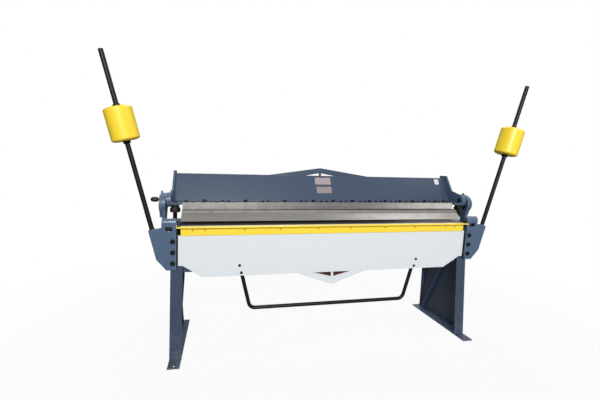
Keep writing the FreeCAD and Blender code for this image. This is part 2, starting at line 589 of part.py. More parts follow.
screws = []
for k, across in enumerate(screw_xs):
    at = LEAF + " * " + spot(across, "-%s" % ANGLE_FRONT, "-screw_drop", "1; 0; 0", "90")
    screws.append(hexagon("screw_head_%d" % k, at, "screw_head_r", "screw_head"))
keep("angle_bar_screws", group("angle_bar_screws", screws))

keep("leaf_truss", plate("leaf_truss", LEAF, "XZ", [
    ("truss_half", "-leaf_depth"), ("truss_open", "-leaf_depth"),
    ("truss_post", "-leaf_depth - truss_open_rise"), ("truss_post", "-leaf_depth"),
    ("-truss_post", "-leaf_depth"), ("-truss_post", "-leaf_depth - truss_open_rise"),
    ("-truss_open", "-leaf_depth"), ("-truss_half", "-leaf_depth"),
    ("0", "-leaf_depth - truss_drop")], "leaf_thick", lift="body_gap"))

bolt_spots = [("%s + bracket_bolt_in" % KNUCKLE_IN,
               "-bracket_bolt_drop - %d * bracket_bolt_pitch" % k) for k in range(3)]
end_bar = plate("end_bar", LEAF, "XZ", [
    ("work_half + leaf_wing", "-notch_drop"), ("work_half + end_bar_out", "-notch_drop"),
    ("work_half + end_bar_out", "-step_drop"), ("work_half + leaf_wing", "-step_drop")],
    "end_bar_thick", lift="body_gap")
keep("leaf_end_bars", both_sides("leaf_end_bars", [end_bar]))

bracket = new_body("bracket_casting", LEAF)
grow(bracket, drawn(bracket, "XZ", [[
    (KNUCKLE_IN, "-bracket_drop"), ("%s + bracket_toe" % KNUCKLE_IN, "-bracket_drop"),
    ("%s + bracket_bend" % KNUCKLE_IN, "-bracket_bend_drop"),
    ("%s + bracket_reach" % KNUCKLE_IN, "-bracket_reach_drop"),
    (KNUCKLE_OUT, "-bracket_crown"), (KNUCKLE_IN, "-bracket_crown")]],
    lift=BRACKET_REAR), "bracket_thick")
ROUND_Y = "((knuckle_back - %s) / 2)" % BRACKET_FRONT
ROUND_R = "((knuckle_back + %s) / 2)" % BRACKET_FRONT
grow(bracket, drawn(bracket, "YZ", [[
    ("-%s" % BRACKET_FRONT, "-knuckle_foot"), ("knuckle_back", "-knuckle_foot"),
    ("knuckle_back", "knuckle_top - %s" % ROUND_R),
    ("-%s" % BRACKET_FRONT, "knuckle_top - %s" % ROUND_R)]], lift=KNUCKLE_IN), "knuckle_len")
grow(bracket, drawn(bracket, "YZ", rings=[(ROUND_Y, "knuckle_top - %s" % ROUND_R, ROUND_R)],
                    lift=KNUCKLE_IN), "knuckle_len")
sink(bracket, drawn(bracket, "YZ", rings=[("0", "0", "pin_r + running")], lift=KNUCKLE_OUT),
     "knuckle_len")
WINDOW_X = "(%s + knuckle_len / 2)" % KNUCKLE_IN
window_half = ["%s + %s" % (WINDOW_X, across) for across in (
    "window_half", "window_half", "window_half - window_r * 0.6", "window_r * 0.6 - window_half",
    "-window_half", "-window_half", "window_r * 0.6 - window_half", "window_half - window_r * 0.6")]
window_up = ["window_r * %s - window_drop" % share
             for share in ("-0.4", "0.4", "1", "1", "0.4", "-0.4", "-1", "-1")]
sink(bracket, drawn(bracket, "XZ", [list(zip(window_half, window_up))], lift=BRACKET_FRONT),
     BRACKET_FRONT)
socket = rod("rod_socket", LEAF + " * " + ROD + " * " + spot(z="-rod_foot - socket_wall"),
             "socket_r", "rod_foot + socket_wall - socket_drop")
bore = rod("rod_bore", LEAF + " * " + ROD + " * " + spot(z="-rod_foot"),
           "rod_r + bolt_gap", "rod_foot + socket_r")
keep_pair("bracket", drilled("bracket_right", joined("bracket_solid", [bracket, socket]), bore))

bolts = []
for k, (across, up) in enumerate(bolt_spots):
    at = LEAF + " * " + spot(across, "-%s" % BRACKET_FRONT, up, "1; 0; 0", "90")
    bolts.append(hexagon("bracket_head_%d" % k, at, "bracket_head_r", "bracket_head"))
keep("bracket_bolts", both_sides("bracket_bolts", bolts))

# ---- counterweights ----
keep_pair("weight_rod", rod("weight_rod_right", LEAF + " * " + ROD + " * " + spot(z="-rod_foot"),
                            "rod_r", "rod_len + rod_foot"))
weight_at = LEAF + " * " + ROD + " * " + spot(z="weight_up - weight_len / 2")
weight = drilled("weight_right", rod("weight_solid", weight_at, "weight_r", "weight_len"),
                 rod("weight_bore", weight_at, "rod_r + bolt_gap", "weight_len"))
keep_pair("counterweight", weight)

collars = []
for k, start in enumerate(("weight_up + weight_len / 2", "weight_up - weight_len / 2 - collar_len")):
    at = LEAF + " * " + ROD + " * " + spot(z=start)
    solid = hexagon("collar_solid_%d" % k, at, "collar_r", "collar_len", 16)
    hole = hexagon("collar_hole_%d" % k, at, "(rod_r + bolt_gap) / cos(180 deg / 16)",
                   "collar_len", 16)
    collars.append(drilled("collar_%d" % k, solid, hole))
keep("weight_collars", both_sides("weight_collars", collars))

# ---- pull handle ----
handle = new_body("pull_handle", LEAF)
path = handle.newObject("Sketcher::SketchObject", "handle_path")
path.AttachmentSupport = [([feature for feature in handle.Origin.OriginFeatures
                            if feature.Role == "XZ_Plane"][0], "")]
path.MapMode = "FlatFace"
tie(path, AttachmentOffset__Base__z="body_gap - tube_r")
TANGENT = "(handle_bend * tan((90 deg - atan(%s)) / 2))" % HANDLE_SLOPE
# The lines start near their bound places, so that the sketch solves to the right side.
size = {word: value for word, value, note in SIZES}
turn_x = size["handle_foot_x"] - size["handle_bend"]
turn_z = size["handle_bend"] - size["handle_drop"]
level = path.addGeometry(Part.LineSegment(
    V(0, -size["handle_drop"], 0), V(turn_x, -size["handle_drop"], 0)), False)
upright = path.addGeometry(Part.LineSegment(
    V(size["handle_foot_x"], turn_z, 0), V(size["handle_top_x"], -size["handle_top_drop"], 0)), False)
bend = path.addGeometry(Part.ArcOfCircle(
    Part.Circle(V(turn_x, turn_z, 0), V(0, 0, 1), size["handle_bend"]), -math.pi / 2, 0), False)
path.addConstraint(Sketcher.Constraint("Tangent", level, 2, bend, 1))
path.addConstraint(Sketcher.Constraint("Tangent", bend, 2, upright, 1))
fix(path, "DistanceX", level, 1, "0")
fix(path, "DistanceY", level, 1, "-handle_drop")
fix(path, "DistanceX", level, 2, "handle_foot_x - %s" % TANGENT)
fix(path, "DistanceY", level, 2, "-handle_drop")
index = path.addConstraint(Sketcher.Constraint("Radius", bend, size["handle_bend"]))
path.setExpression("Constraints[%d]" % index, bound("handle_bend"))
fix(path, "DistanceX", upright, 2, "handle_top_x")
fix(path, "DistanceY", upright, 2, "-handle_top_drop")
ring = drawn(handle, "YZ", rings=[("tube_r - body_gap", "-handle_drop", "tube_r")])
pipe = handle.newObject("PartDesign::AdditivePipe", "handle_pipe")
pipe.Profile = ring
pipe.Spine = (path, ["Edge1", "Edge2", "Edge3"])
mirrored = handle.newObject("PartDesign::Mirrored", "handle_mirror")
mirrored.Originals = [pipe]
mirrored.MirrorPlane = ([feature for feature in handle.Origin.OriginFeatures
                         if feature.Role == "YZ_Plane"][0], [""])
handle.Tip = mirrored
keep("pull_handle", handle)

handle_bolts = []
for across, drop in handle_spots:
    for side in ("", "-"):
        at = (LEAF + " * "
              + spot("%s(%s)" % (side, across), "-%s" % LEAF_FRONT, "-%s" % drop, "1; 0; 0", "90"))
        handle_bolts.append(hexagon("handle_head_%d" % len(handle_bolts), at,
                                    "handle_head_r", "handle_head"))
keep("handle_bolts", group("handle_bolts", handle_bolts))

# ---- clamping beam ----
# Thirteen fingers, whose widths in inches share the working length.
INCHES = (11, 11, 11, 6, 6, 6, 5, 5, 5, 4, 4, 3, 3)
INCH = ("((2 * (work_half - row_play) - %d * finger_gap) / %d)"
        % (len(INCHES) - 1, sum(INCHES)))
widths = ["(%d * %s)" % (inches, INCH) for inches in INCHES]
finger_starts = ["(%d * %s + %d * finger_gap + row_play - work_half)" % (sum(INCHES[:k]), INCH, k)
                 for k in range(len(INCHES))]
centres = ["(%s + %s / 2)" % (start, width) for start, width in zip(finger_starts, widths)]

EAR_IN = "(work_half + ear_in)"
right_half = [(EAR_IN, "plate_y"), (EAR_IN, "ear_y"), (BEAM_HALF, "ear_y"),
              (BEAM_HALF, "plate_back")]
stop_spots = [("%s%s" % (side, "(%s + stop_x)" % EAR_IN), "stop_y", "stop_r + bolt_gap")
              for side in ("", "-")]
keep("beam_base_plate", plate(
    "beam_base_plate", BEAM, "XY",
    right_half + [("-(%s)" % across, back) for across, back in reversed(right_half)],
    "plate_thick", lift="plate_z", rings=stop_spots))

face = plate("beam_face_plate", BEAM, "YZ", [
    ("face_foot", PLATE_TOP), ("face_top_y", "face_top_z"),
    ("face_top_y + face_lip", "face_top_z"), ("face_top_y + face_lip", "face_top_z - face_thick"),
    ("face_top_y + face_thick - face_thick * %s" % FACE_SLOPE, "face_top_z - face_thick"),
    ("face_foot + face_thick", PLATE_TOP)], "2 * %s" % BEAM_HALF, lift="-%s" % BEAM_HALF)
keep("beam_face_plate", face)

keep("beam_truss", plate("beam_truss", BEAM, "XZ", [
    ("arch_half", "face_top_z"), ("0", "face_top_z + arch_rise"), ("-arch_half", "face_top_z"),
    ("-arch_open", "face_top_z"), ("-truss_post", "face_top_z + arch_open_rise"),
    ("-truss_post", "face_top_z"), ("truss_post", "face_top_z"),
    ("truss_post", "face_top_z + arch_open_rise"), ("arch_open", "face_top_z")],
    "truss_thick", lift="-face_top_y - face_lip"))

beam_ribs = [plate("beam_rib_%d" % k, BEAM, "YZ", [
    ("face_foot + face_thick", PLATE_TOP), ("plate_back", PLATE_TOP),
    ("face_top_y + face_lip", "face_top_z - face_thick"),
    ("face_top_y + face_thick - face_thick * %s" % FACE_SLOPE, "face_top_z - face_thick")],
    "rib_thick", lift="%d * beam_rib_pitch - rib_thick / 2" % (k - 2)) for k in range(5)]
keep("beam_ribs", group("beam_ribs", beam_ribs))

beam_end = new_body("beam_end_right", BEAM)
grow(beam_end, drawn(beam_end, "YZ", [[
    ("boss_y", "boss_z - boss_r"), ("boss_y + boss_r", "plate_z"), ("end_back", "plate_z"),
    ("end_back", "end_top_z"), ("end_top_y", "end_top_z"), ("end_knee_y", "end_knee_z"),
    ("boss_y", "boss_z + boss_r")]], lift=BEAM_HALF), "end_thick")
grow(beam_end, drawn(beam_end, "YZ", rings=[("boss_y", "boss_z", "boss_r")], lift=BEAM_HALF),
     BOSS_LEN)
sink(beam_end, drawn(beam_end, "YZ", rings=[("boss_y", "boss_z", "journal_r + running")],
                     lift=BOSS_OUT), BOSS_LEN)
keep_pair("beam_end", beam_end)

profile = [
    ("0", "0"), ("finger_slope_y", "finger_slope_z"), ("finger_brow_y", "finger_brow_z"),
    ("finger_face_y", "finger_brow_z"), ("finger_face_y", "finger_top_z"),
    ("plate_y", "finger_top_z"), ("plate_y", "plate_z"), ("finger_heel_y", "plate_z"),
    ("finger_heel_y", "finger_heel_z"), ("finger_belly_y", "finger_heel_z"), ("finger_toe", "0")]
finger_bolts = []
setting_screws = []
for k, (start, width, centre) in enumerate(zip(finger_starts, widths, centres)):
    finger = plate("finger_%02d" % (k + 1), BEAM, "YZ", profile, width, lift=start)
    keep("finger_%02d" % (k + 1), finger)
    at = BEAM + " * " + spot(centre, "finger_bolt_y", PLATE_TOP)
    finger_bolts.append(hexagon("finger_head_%d" % k, at, "finger_head_r", "finger_head"))
    for side in ("-", "+"):
        across = "%s %s (%s / 2 - nib_in)" % (centre, side, width)
        at = BEAM + " * " + spot(across, "nib_y", PLATE_TOP)
        setting_screws.append(hexagon("setting_screw_%d" % len(setting_screws), at,
                                      "nib_r", "nib_head"))
keep("finger_bolts", group("finger_bolts", finger_bolts))
keep("finger_screws", group("finger_screws", setting_screws))

stop_x = "%s + stop_x" % EAR_IN
stop_at = [BEAM + " * " + spot(stop_x, "stop_y", up)
           for up in ("0", "stop_block_z", "stop_block_z + stop_block")]
stop = joined("stop_screw", [
    hexagon("stop_shank", stop_at[0], "stop_r", "stop_top", 16),
    hexagon("stop_block", stop_at[1], "stop_block_r", "stop_block"),
    hexagon("stop_collar", stop_at[2], "stop_collar_r", "plate_z - stop_block_z - stop_block", 16)])
keep("height_stop_screws", both_sides("height_stop_screws", [stop]))

doc.recompute()
for obj in doc.Objects:
    if "Invalid" in obj.State or "Error" in obj.State:
        raise SystemExit("not built: %s %s" % (obj.Name, obj.State))
for label, obj in nodes.items():
    shape = obj.Shape
    if shape.isNull() or not shape.isValid() or not shape.Solids:
        raise SystemExit("no sound shape: %s" % label)
    shape.exportStep("parts/%s.step" % label)
print(len(nodes), "pieces")
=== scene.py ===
"""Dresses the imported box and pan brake: finished pieces, paint and steel, and a plain studio."""

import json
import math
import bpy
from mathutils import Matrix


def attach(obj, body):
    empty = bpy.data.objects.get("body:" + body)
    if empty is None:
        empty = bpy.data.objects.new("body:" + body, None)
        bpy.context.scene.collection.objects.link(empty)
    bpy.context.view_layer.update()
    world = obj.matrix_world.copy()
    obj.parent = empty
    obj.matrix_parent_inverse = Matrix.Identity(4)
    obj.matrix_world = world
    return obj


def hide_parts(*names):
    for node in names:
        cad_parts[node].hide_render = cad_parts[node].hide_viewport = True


bl_info = {
    "name": "Box and Pan Brake",
    "version": (1, 0, 0),
    "blender": (4, 5, 0),
    "location": "3D View > Sidebar > Brake",
    "description": "Builds the finished pieces of a box and pan brake round its CAD frame",
    "category": "Object",
}

import bmesh
import bpy
from bpy.props import FloatProperty, FloatVectorProperty, IntProperty, PointerProperty
from mathutils import Matrix, Vector

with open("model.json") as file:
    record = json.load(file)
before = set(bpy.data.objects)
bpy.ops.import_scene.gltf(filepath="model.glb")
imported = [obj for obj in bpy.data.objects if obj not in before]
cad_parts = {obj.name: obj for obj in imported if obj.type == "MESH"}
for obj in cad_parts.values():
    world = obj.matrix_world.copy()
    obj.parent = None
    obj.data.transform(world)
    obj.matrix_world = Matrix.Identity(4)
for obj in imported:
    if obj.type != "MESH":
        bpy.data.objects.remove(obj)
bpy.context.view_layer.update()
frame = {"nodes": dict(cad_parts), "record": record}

# Sizes and places are in millimetres, or times MM in metres, Blender's own unit.
MM = 0.001
SIDES = {"left": -1, "right": 1}
OUT = Vector((1, 0, 0))
UP = Vector((0, 0, 1))
TO_FRONT = (0, -1, 0)
WHITE = (1, 1, 1, 1)
DUST = (0.33, 0.32, 0.30, 1)

# The bend line, and the frames of the leaf, the beam and the clamp movement at rest.
BEND_LINE = Vector((0, -237.84, 873)) * MM
LEAF = Matrix.Translation(BEND_LINE) @ Matrix.Rotation(math.radians(5.15), 4, "X")
BEAM = Matrix.Translation(Vector((0, -207.5, 897.07)) * MM)
HEAD = Vector((0, -96.14, 1003)) * MM

# Faces of the frame's pieces, out from the middle.
WORK_HALF = 1020 * MM
LEG_OUT = 1078 * MM
ARM_OUT = 1144 * MM
LEVER_IN = 1151.3 * MM
LEVER_ANGLE = math.radians(61.6)
LEVER_THICK = 10 * MM

# Welds: how far back from the bend line and up from the floor each end is.
LEG_WELD = ((110, 752), (548, 20))
FOOT_WELD = ((42, 8.6), (545, 8.6))
TOE_WELD = (41.4, 8.6)
TOE_WELD_ROWS = (1005 * MM, 1069 * MM)
CORNER_WELD_IN = 8.6 * MM
FLANGE_WELD_IN = 36 * MM
RIB_WELD = ((76.6, 575), (76.6, 842))
WEB_WELD = (77, 847.4)
WEB_WELD_HALF = 1012 * MM
RIB_PITCH = 500
RIB_SIDE = 5.6
STITCH_FOOT = Vector((0, 246.6, 114.2)) * MM
STITCH_PITCH = 408 * MM
STITCH_HALF = 190 * MM

# Heads: radius and height, and for those on a washer its thickness and radius.
FRAME_BOLT = (9.8 * MM, 7 * MM, 1.6 * MM, 9.9 * MM)
FINGER_BOLT = (12.9 * MM, 16 * MM, 2.4 * MM, 12.95 * MM)
BRACKET_BOLT = (14.8 * MM, 12 * MM)
HANDLE_BOLT = (8.9 * MM, 6 * MM)
SETTING_SCREW = (7.9 * MM, 12 * MM)

# Bolts and screws: their rows across, heights, faces, and drops down the leaf.
LEG_BOLT_ROW = 1053 * MM
LEG_BOLT_FACE = 32.7
LEG_BOLT_HEIGHTS = (778, 700, 622)
ARM_BOLT_HEIGHTS = (750, 716)
BAR_SCREW_ROWS = (118, 377, 615, 865, 940)
BAR_SCREW_FACE = 14.3
BAR_SCREW_DROP = 24
BAR_SCREW_HEAD = 6.9
BRACKET_BOLT_ROW = 1058.7
BRACKET_BOLT_DROPS = (90, 160.5, 231)
BRACKET_FRONT = 26
HANDLE_BOLT_DROPS = (267, 317)
HANDLE_BOLT_FACE = 8.3

# The bed ends' lugs, the knuckles' windows and the hinge pins.
LUG_BACK = 35
LUG_DROP = 62
WINDOW_ROW = 1082.5
WINDOW_DROP = 12
WINDOW_HALF_WIDTH = 21.2
WINDOW_HALF_HEIGHT = 13.2
PIN = ((0, 0), (12, 0), (12, 103.5), (10.5, 105), (2.6, 105), (1.6, 103), (0, 103))

# Leaning rods, and the weights and collars along them.
ROD_ROW = 1188
ROD_FRONT = 5
ROD_LEAN = math.radians(14.27)
ROD_RADIUS = 14
ROD_ENDS = (-118, 1069)
WEIGHT_MIDDLE = 639
WEIGHT_HALF = 102
WEIGHT_CROWN = ((79, 90), (71, 97), (60, 101), (38, 102), (28, 99), (14.3, 99))
COLLAR = ((14.15, 0), (20.9, 0), (20.9, 14), (14.15, 14))
COLLAR_SCREW = ((0, 0), (3, 0), (3, 1.1), (1.7, 1.1), (1.6, 0.3, 1.6), (0, 0.3))
COLLAR_SCREW_OUT = 19.6

# Pull handle, on the leaf.
HANDLE_RADIUS = 12.5
HANDLE_BEND = 46
HANDLE_TOP = Vector((650, -236))
HANDLE_FOOT = Vector((566.5, -576))
HANDLE_BACK = 12.2

# Stop screws, blank plates and fingers, on the beam.
STOP_SCREW_ROW = 1064
STOP_SCREW_BACK = 91
STUD = 14
THREAD = 1.1
STUD_FOOT = ((0, 0), (11.5, 0))
THREADS = tuple((STUD - THREAD * (k % 2), 2.5 + k * THREAD) for k in range(43))
STUD_TOP = ((STUD, 49.9), (STUD, 117), (12.4, 119), (7, 119), (7, 114, 7), (0, 113))
STOP_NUT = (33, 31)
STOP_NUT_UP = 50
STUD_COLLAR = ((STUD, 81), (24.9, 81), (24.9, 98), (STUD, 98))
FACE_FOOT = (0, 236, 113)
FACE_SLOPE = math.atan2(83, 191)
BLANK_PLATES = (("upper_blank_plate", "upper_plate", -56, 72, 135, 192),
                ("lower_blank_plate", "lower_plate", -47, 74, 63, 116),
                ("side_blank_plate", "side_plate", 995, 1034, 149, 195))
PLATE_BACK = 0.05
PLATE_FRONT = 0.85
RIVET = ((0, 0), (1.5, 0), (1.3, 0.5), (0.7, 0.8), (0, 0.85))
FINGER_WIDTHS = (279.4,) * 3 + (152.4,) * 3 + (127.0,) * 3 + (101.6,) * 2 + (76.2,) * 2
FINGER_GAP = 0.5
FINGER_SHELF = 64
FINGER_BROW = Vector((0, -24, 10.6)).normalized()
FINGER_BOLT_BACK = 155
SETTING_SCREW_BACK = 138
SETTING_SCREW_INSET = 20
BASE_TOP = 113

# Grip of the left lever.
GRIP_REACH = 28.4
GRIP = ((0, 0), (7, 0), (7, 13), (9.5, 14.5), (13.5, 17), (16, 21.5), (16.4, 27), (16.4, 42),
        (15.2, 49), (12.4, 56), (9, 60.5), (4, 62), (0, 62))

# Studio, in metres and degrees. A lamp has its power's name, its place, target and width.
LAMPS = (("front softbox", "key_power", (-1, -8, 4), (0, -0.2, 0.9), 3),
         ("top softbox", "top_power", (-0.8, 0.3, 4.6), (-0.8, 0.3, 0.5), 6),
         ("right softbox", "side_power", (4.2, -4.6, 0.9), (0.9, -0.1, 0.95), 2),
         ("right top softbox", "right_power", (3, -0.5, 3.7), (0.9, -0.1, 0.95), 3.4),
         ("rear softbox", "rear_power", (4.2, 3.9, 1.7), (0.9, 0, 0.87), 2.4),
         ("back softbox", "back_power", (0.2, 5, 7), (0, 0.1, 0.7), 3))
LAMP_SHAPE = 0.8
FLOOR_HALF = 12
FLOOR_DROP = 0.0005
FLOOR_TONES = (0.18, 0.22)
# How white the camera sees the floor: two distances from the middle, and the shares there.
FLOOR_FADE = (1.4, 3.2, 0.95, 1.0)
CAMERA_PLACE = (-0.76877, -2.47024, 1.2374)
CAMERA_TURNS = (12.215, 1.413, -1.265)
CAMERA_SHIFT = (0.0082, -0.0349)
SENSOR_WIDTH = 36


def linear(red, green, blue):
    """Display bytes turned to the linear values that Blender works in."""
    parts = [byte / 255 for byte in (red, green, blue)]
    return tuple(part / 12.92 if part <= 0.04045 else ((part + 0.055) / 1.055) ** 2.4
                 for part in parts)


def colour(name, description, red, green, blue):
    return FloatVectorProperty(name=name, description=description, subtype="COLOR", size=3,
                               min=0, max=1, default=linear(red, green, blue))


def length(name, description, millimetres):
    return FloatProperty(name=name, description=description, unit="LENGTH",
                         default=millimetres * MM)


def power(name, description, watts):
    return FloatProperty(name=name, description=description, subtype="POWER", default=watts)


class BrakeColours(bpy.types.PropertyGroup):
    """Colours of the paints, metals and plastics."""
    frame_paint: colour("Frame paint", "Blue-grey paint of the frame and the beam", 58, 73, 95)
    casting_paint: colour("Casting paint", "Blue-grey paint of the castings", 77, 98, 125)
    apron_paint: colour("Apron paint", "Pale grey paint of the leaf's plate", 226, 232, 236)
    bar_paint: colour("Bar paint", "Yellow paint of the angle bar", 255, 223, 64)
    weight_paint: colour("Weight paint", "Yellow paint of the counterweights", 255, 220, 54)
    # Painted shade: a darker yellow on the angle bar's screws stands in for the shade in their
    # countersinks.
    screw_shade_paint: colour("Screw shade paint", "Darker yellow on the angle bar's screws, a painted shade", 214, 158, 56)
    black_paint: colour("Black paint", "Paint of the rods and the pull handle", 20, 20, 23)
    red_primer: colour("Primer", "Primer left bare on the bed's truss", 88, 32, 17)
    ground_steel: colour("Ground steel", "Steel of the fingers", 174, 171, 168)
    bed_steel: colour("Bed steel", "Steel of the bed bar", 104, 102, 100)
    # Painted shade: the fingers' second slope is darker than the ground steel, and rougher, for
    # the dim band below the upper face.
    brow_shade_steel: colour("Brow shade steel", "Darker steel of the fingers' second slope, a painted shade", 146, 143, 140)
    # Painted shade: near-black steel on the fingers' shelves stands in for the shaded line under
    # each finger's upper face.
    shelf_shade: colour("Shelf shade", "Near-black steel on the fingers' shelves, a painted shade", 40, 39, 38)
    dark_steel: colour("Dark steel", "Oiled black steel of the bolts", 36, 35, 36)
    # Painted shade: near-black steel put on the knuckles' windows, the bed ends' lugs and the end
    # bars' fronts, where those recesses lie in shade.
    recess_shade: colour("Recess shade", "Near-black steel in shaded recesses, a painted shade", 13, 13, 14)
    upper_plate: colour("Upper plate", "Face of the upper blank plate", 162, 147, 153)
    lower_plate: colour("Lower plate", "Face of the lower blank plate", 141, 132, 130)
    side_plate: colour("Side plate", "Face of the small blank plate", 214, 214, 218)
    grip_plastic: colour("Grip plastic", "Moulded plastic of the clamp grip", 20, 20, 22)


class BrakeSizes(bpy.types.PropertyGroup):
    """Sizes of the finished details."""
    plate_edge: length("Plate edge", "Rounding of the plates' edges", 1.2)
    casting_edge: length("Casting edge", "Rounding of the castings' edges", 3)
    steel_edge: length("Steel edge", "Rounding of the ground steel's edges", 0.5)
    weight_edge: length("Weight edge", "Rounding of the counterweights' rims", 12)
    bead: length("Weld bead", "Radius of the weld beads", 3.2)
    turns: IntProperty(name="Turns", description="Facets round a turned piece", default=64,
                       min=24, max=128)


class BrakeStudio(bpy.types.PropertyGroup):
    """Camera and lamps."""
    lens: FloatProperty(name="Lens", description="Focal length on a 36 mm wide sensor",
                        subtype="DISTANCE_CAMERA", default=20.399)
    key_power: power("Front lamp", "Power of the front softbox", 690)
    top_power: power("Top lamp", "Power of the overhead softbox", 52)
    side_power: power("Right lamp", "Power of the softbox on the right", 28)
    right_power: power("Right top lamp", "Power of the softbox above the right end", 50)
    rear_power: power("Rear lamp", "Power of the low softbox at the back", 17)
    back_power: power("Back lamp", "Power of the high softbox behind", 320)
    sky: FloatProperty(name="Room light", description="Strength of the even light of the room",
                       default=0.015, min=0)


# ---- shader groups and materials ----

def new_group(name, inputs, outputs):
    """A shader node group with its sockets, and its two end nodes."""
    tree = bpy.data.node_groups.new(name, "ShaderNodeTree")
    for label, kind, value in inputs:
        socket = tree.interface.new_socket(label, in_out="INPUT", socket_type=kind)
        socket.default_value = value
    for label, kind in outputs:
        tree.interface.new_socket(label, in_out="OUTPUT", socket_type=kind)
    return tree, tree.nodes.new("NodeGroupInput"), tree.nodes.new("NodeGroupOutput")


def node(tree, kind, settings=None, **inputs):
    """A node with its settings and its inputs, each a value or another node's socket.

    An input is named, with _ for a space, or numbered as i0, i1 and so on.
    """
    made = tree.nodes.new("ShaderNode" + kind)
    for key, value in (settings or {}).items():
        setattr(made, key, value)
    for key, value in inputs.items():
        socket = made.inputs[int(key[1:]) if key[1:].isdigit() else key.replace("_", " ")]
        if isinstance(value, bpy.types.NodeSocket):
            tree.links.new(value, socket)
        else:
            socket.default_value = value
    return made


def maths(tree, operation, first, second=0.0, third=0.0, clamp=False):
    made = node(tree, "Math", {"operation": operation, "use_clamp": clamp},
                i0=first, i1=second, i2=third)
    return made.outputs[0]


def ramp(tree, factor, low, high, to_low=0.0, to_high=1.0):
    """The factor's part between low and high, spread over to_low to to_high."""
    made = node(tree, "MapRange", {"clamp": True}, Value=factor, From_Min=low, From_Max=high,
                To_Min=to_low, To_Max=to_high)
    return made.outputs["Result"]


def mixed(tree, factor, first, second):
    made = node(tree, "Mix", {"data_type": "RGBA"}, i0=factor, i6=first, i7=second)
    return made.outputs[2]


def noise(tree, place, scale, detail=3.0, rough=0.55, stretch=None):
    """Noise in metres on the piece itself, stretched along its axes where asked."""
    if stretch:
        place = node(tree, "Mapping", Vector=place, Scale=stretch).outputs[0]
    made = node(tree, "TexNoise", Vector=place, Scale=scale, Detail=detail, Roughness=rough)
    return made.outputs["Fac"]


def paint_group():
    """Sprayed paint: drift of tone, orange peel, rims in their own colour, partly rubbed wear and
    partly painted light, and dust low down.
    """
    tree, given, out = new_group(
        "Sprayed paint",
        [("Paint", "NodeSocketColor", (0.1, 0.1, 0.1, 1)),
         ("Rubbed", "NodeSocketColor", (0.2, 0.2, 0.2, 1)),
         ("Drift", "NodeSocketFloat", 0.1), ("Rub", "NodeSocketFloat", 0.5),
         ("Roughness", "NodeSocketFloat", 0.4), ("Peel", "NodeSocketFloat", 1.0),
         ("Dust", "NodeSocketFloat", 0.3)],
        [("Paint", "NodeSocketColor"), ("Roughness", "NodeSocketFloat"),
         ("Height", "NodeSocketFloat")])
    place = node(tree, "TexCoord").outputs["Object"]
    broad = noise(tree, place, 2.6, 4.0)
    fine = noise(tree, place, 90.0, 3.0, 0.6)
    peel = noise(tree, place, 420.0, 2.0, 0.4)
    tone = maths(tree, "MULTIPLY_ADD", maths(tree, "SUBTRACT", broad, 0.5), 1.4,
                 maths(tree, "MULTIPLY", maths(tree, "SUBTRACT", fine, 0.5), 0.5))
    tone = maths(tree, "MULTIPLY_ADD", tone, given.outputs["Drift"], 1.0)
    toned = node(tree, "VectorMath", {"operation": "SCALE"}, i0=given.outputs["Paint"],
                 Scale=tone).outputs[0]
    # Rims take the second colour, more where the chip mask falls: partly rubbed wear, partly
    # painted light on the bevels (lighter on most paints, darker on the apron).
    rim = node(tree, "Attribute", {"attribute_name": "rim"}).outputs["Fac"]
    chips = ramp(tree, noise(tree, place, 55.0, 5.0, 0.7), 0.5, 0.62)
    rim_wear_and_light = maths(tree, "MULTIPLY", maths(tree, "MULTIPLY", rim, given.outputs["Rub"]),
                   maths(tree, "MULTIPLY_ADD", chips, 0.75, 0.25))
    worn_and_lit = mixed(tree, rim_wear_and_light, toned, given.outputs["Rubbed"])
    high = node(tree, "SeparateXYZ", Vector=place).outputs[2]
    low = ramp(tree, high, 0.0, 0.32, 1.0, 0.0)
    specks = ramp(tree, noise(tree, place, 24.0, 5.0, 0.7), 0.42, 0.72)
    dusty = maths(tree, "MULTIPLY", maths(tree, "MULTIPLY", low, specks), given.outputs["Dust"])
    dusted = mixed(tree, dusty, worn_and_lit, DUST)
    rough = maths(tree, "MULTIPLY_ADD", maths(tree, "SUBTRACT", fine, 0.5), 0.16,
                  given.outputs["Roughness"])
    rough = maths(tree, "MULTIPLY_ADD", dusty, 0.3, rough, clamp=True)
    height = maths(tree, "MULTIPLY", maths(tree, "MULTIPLY_ADD", broad, 0.4, peel),
                   given.outputs["Peel"])
    for label, socket in (("Paint", dusted), ("Roughness", rough), ("Height", height)):
        tree.links.new(socket, out.inputs[label])
    return tree


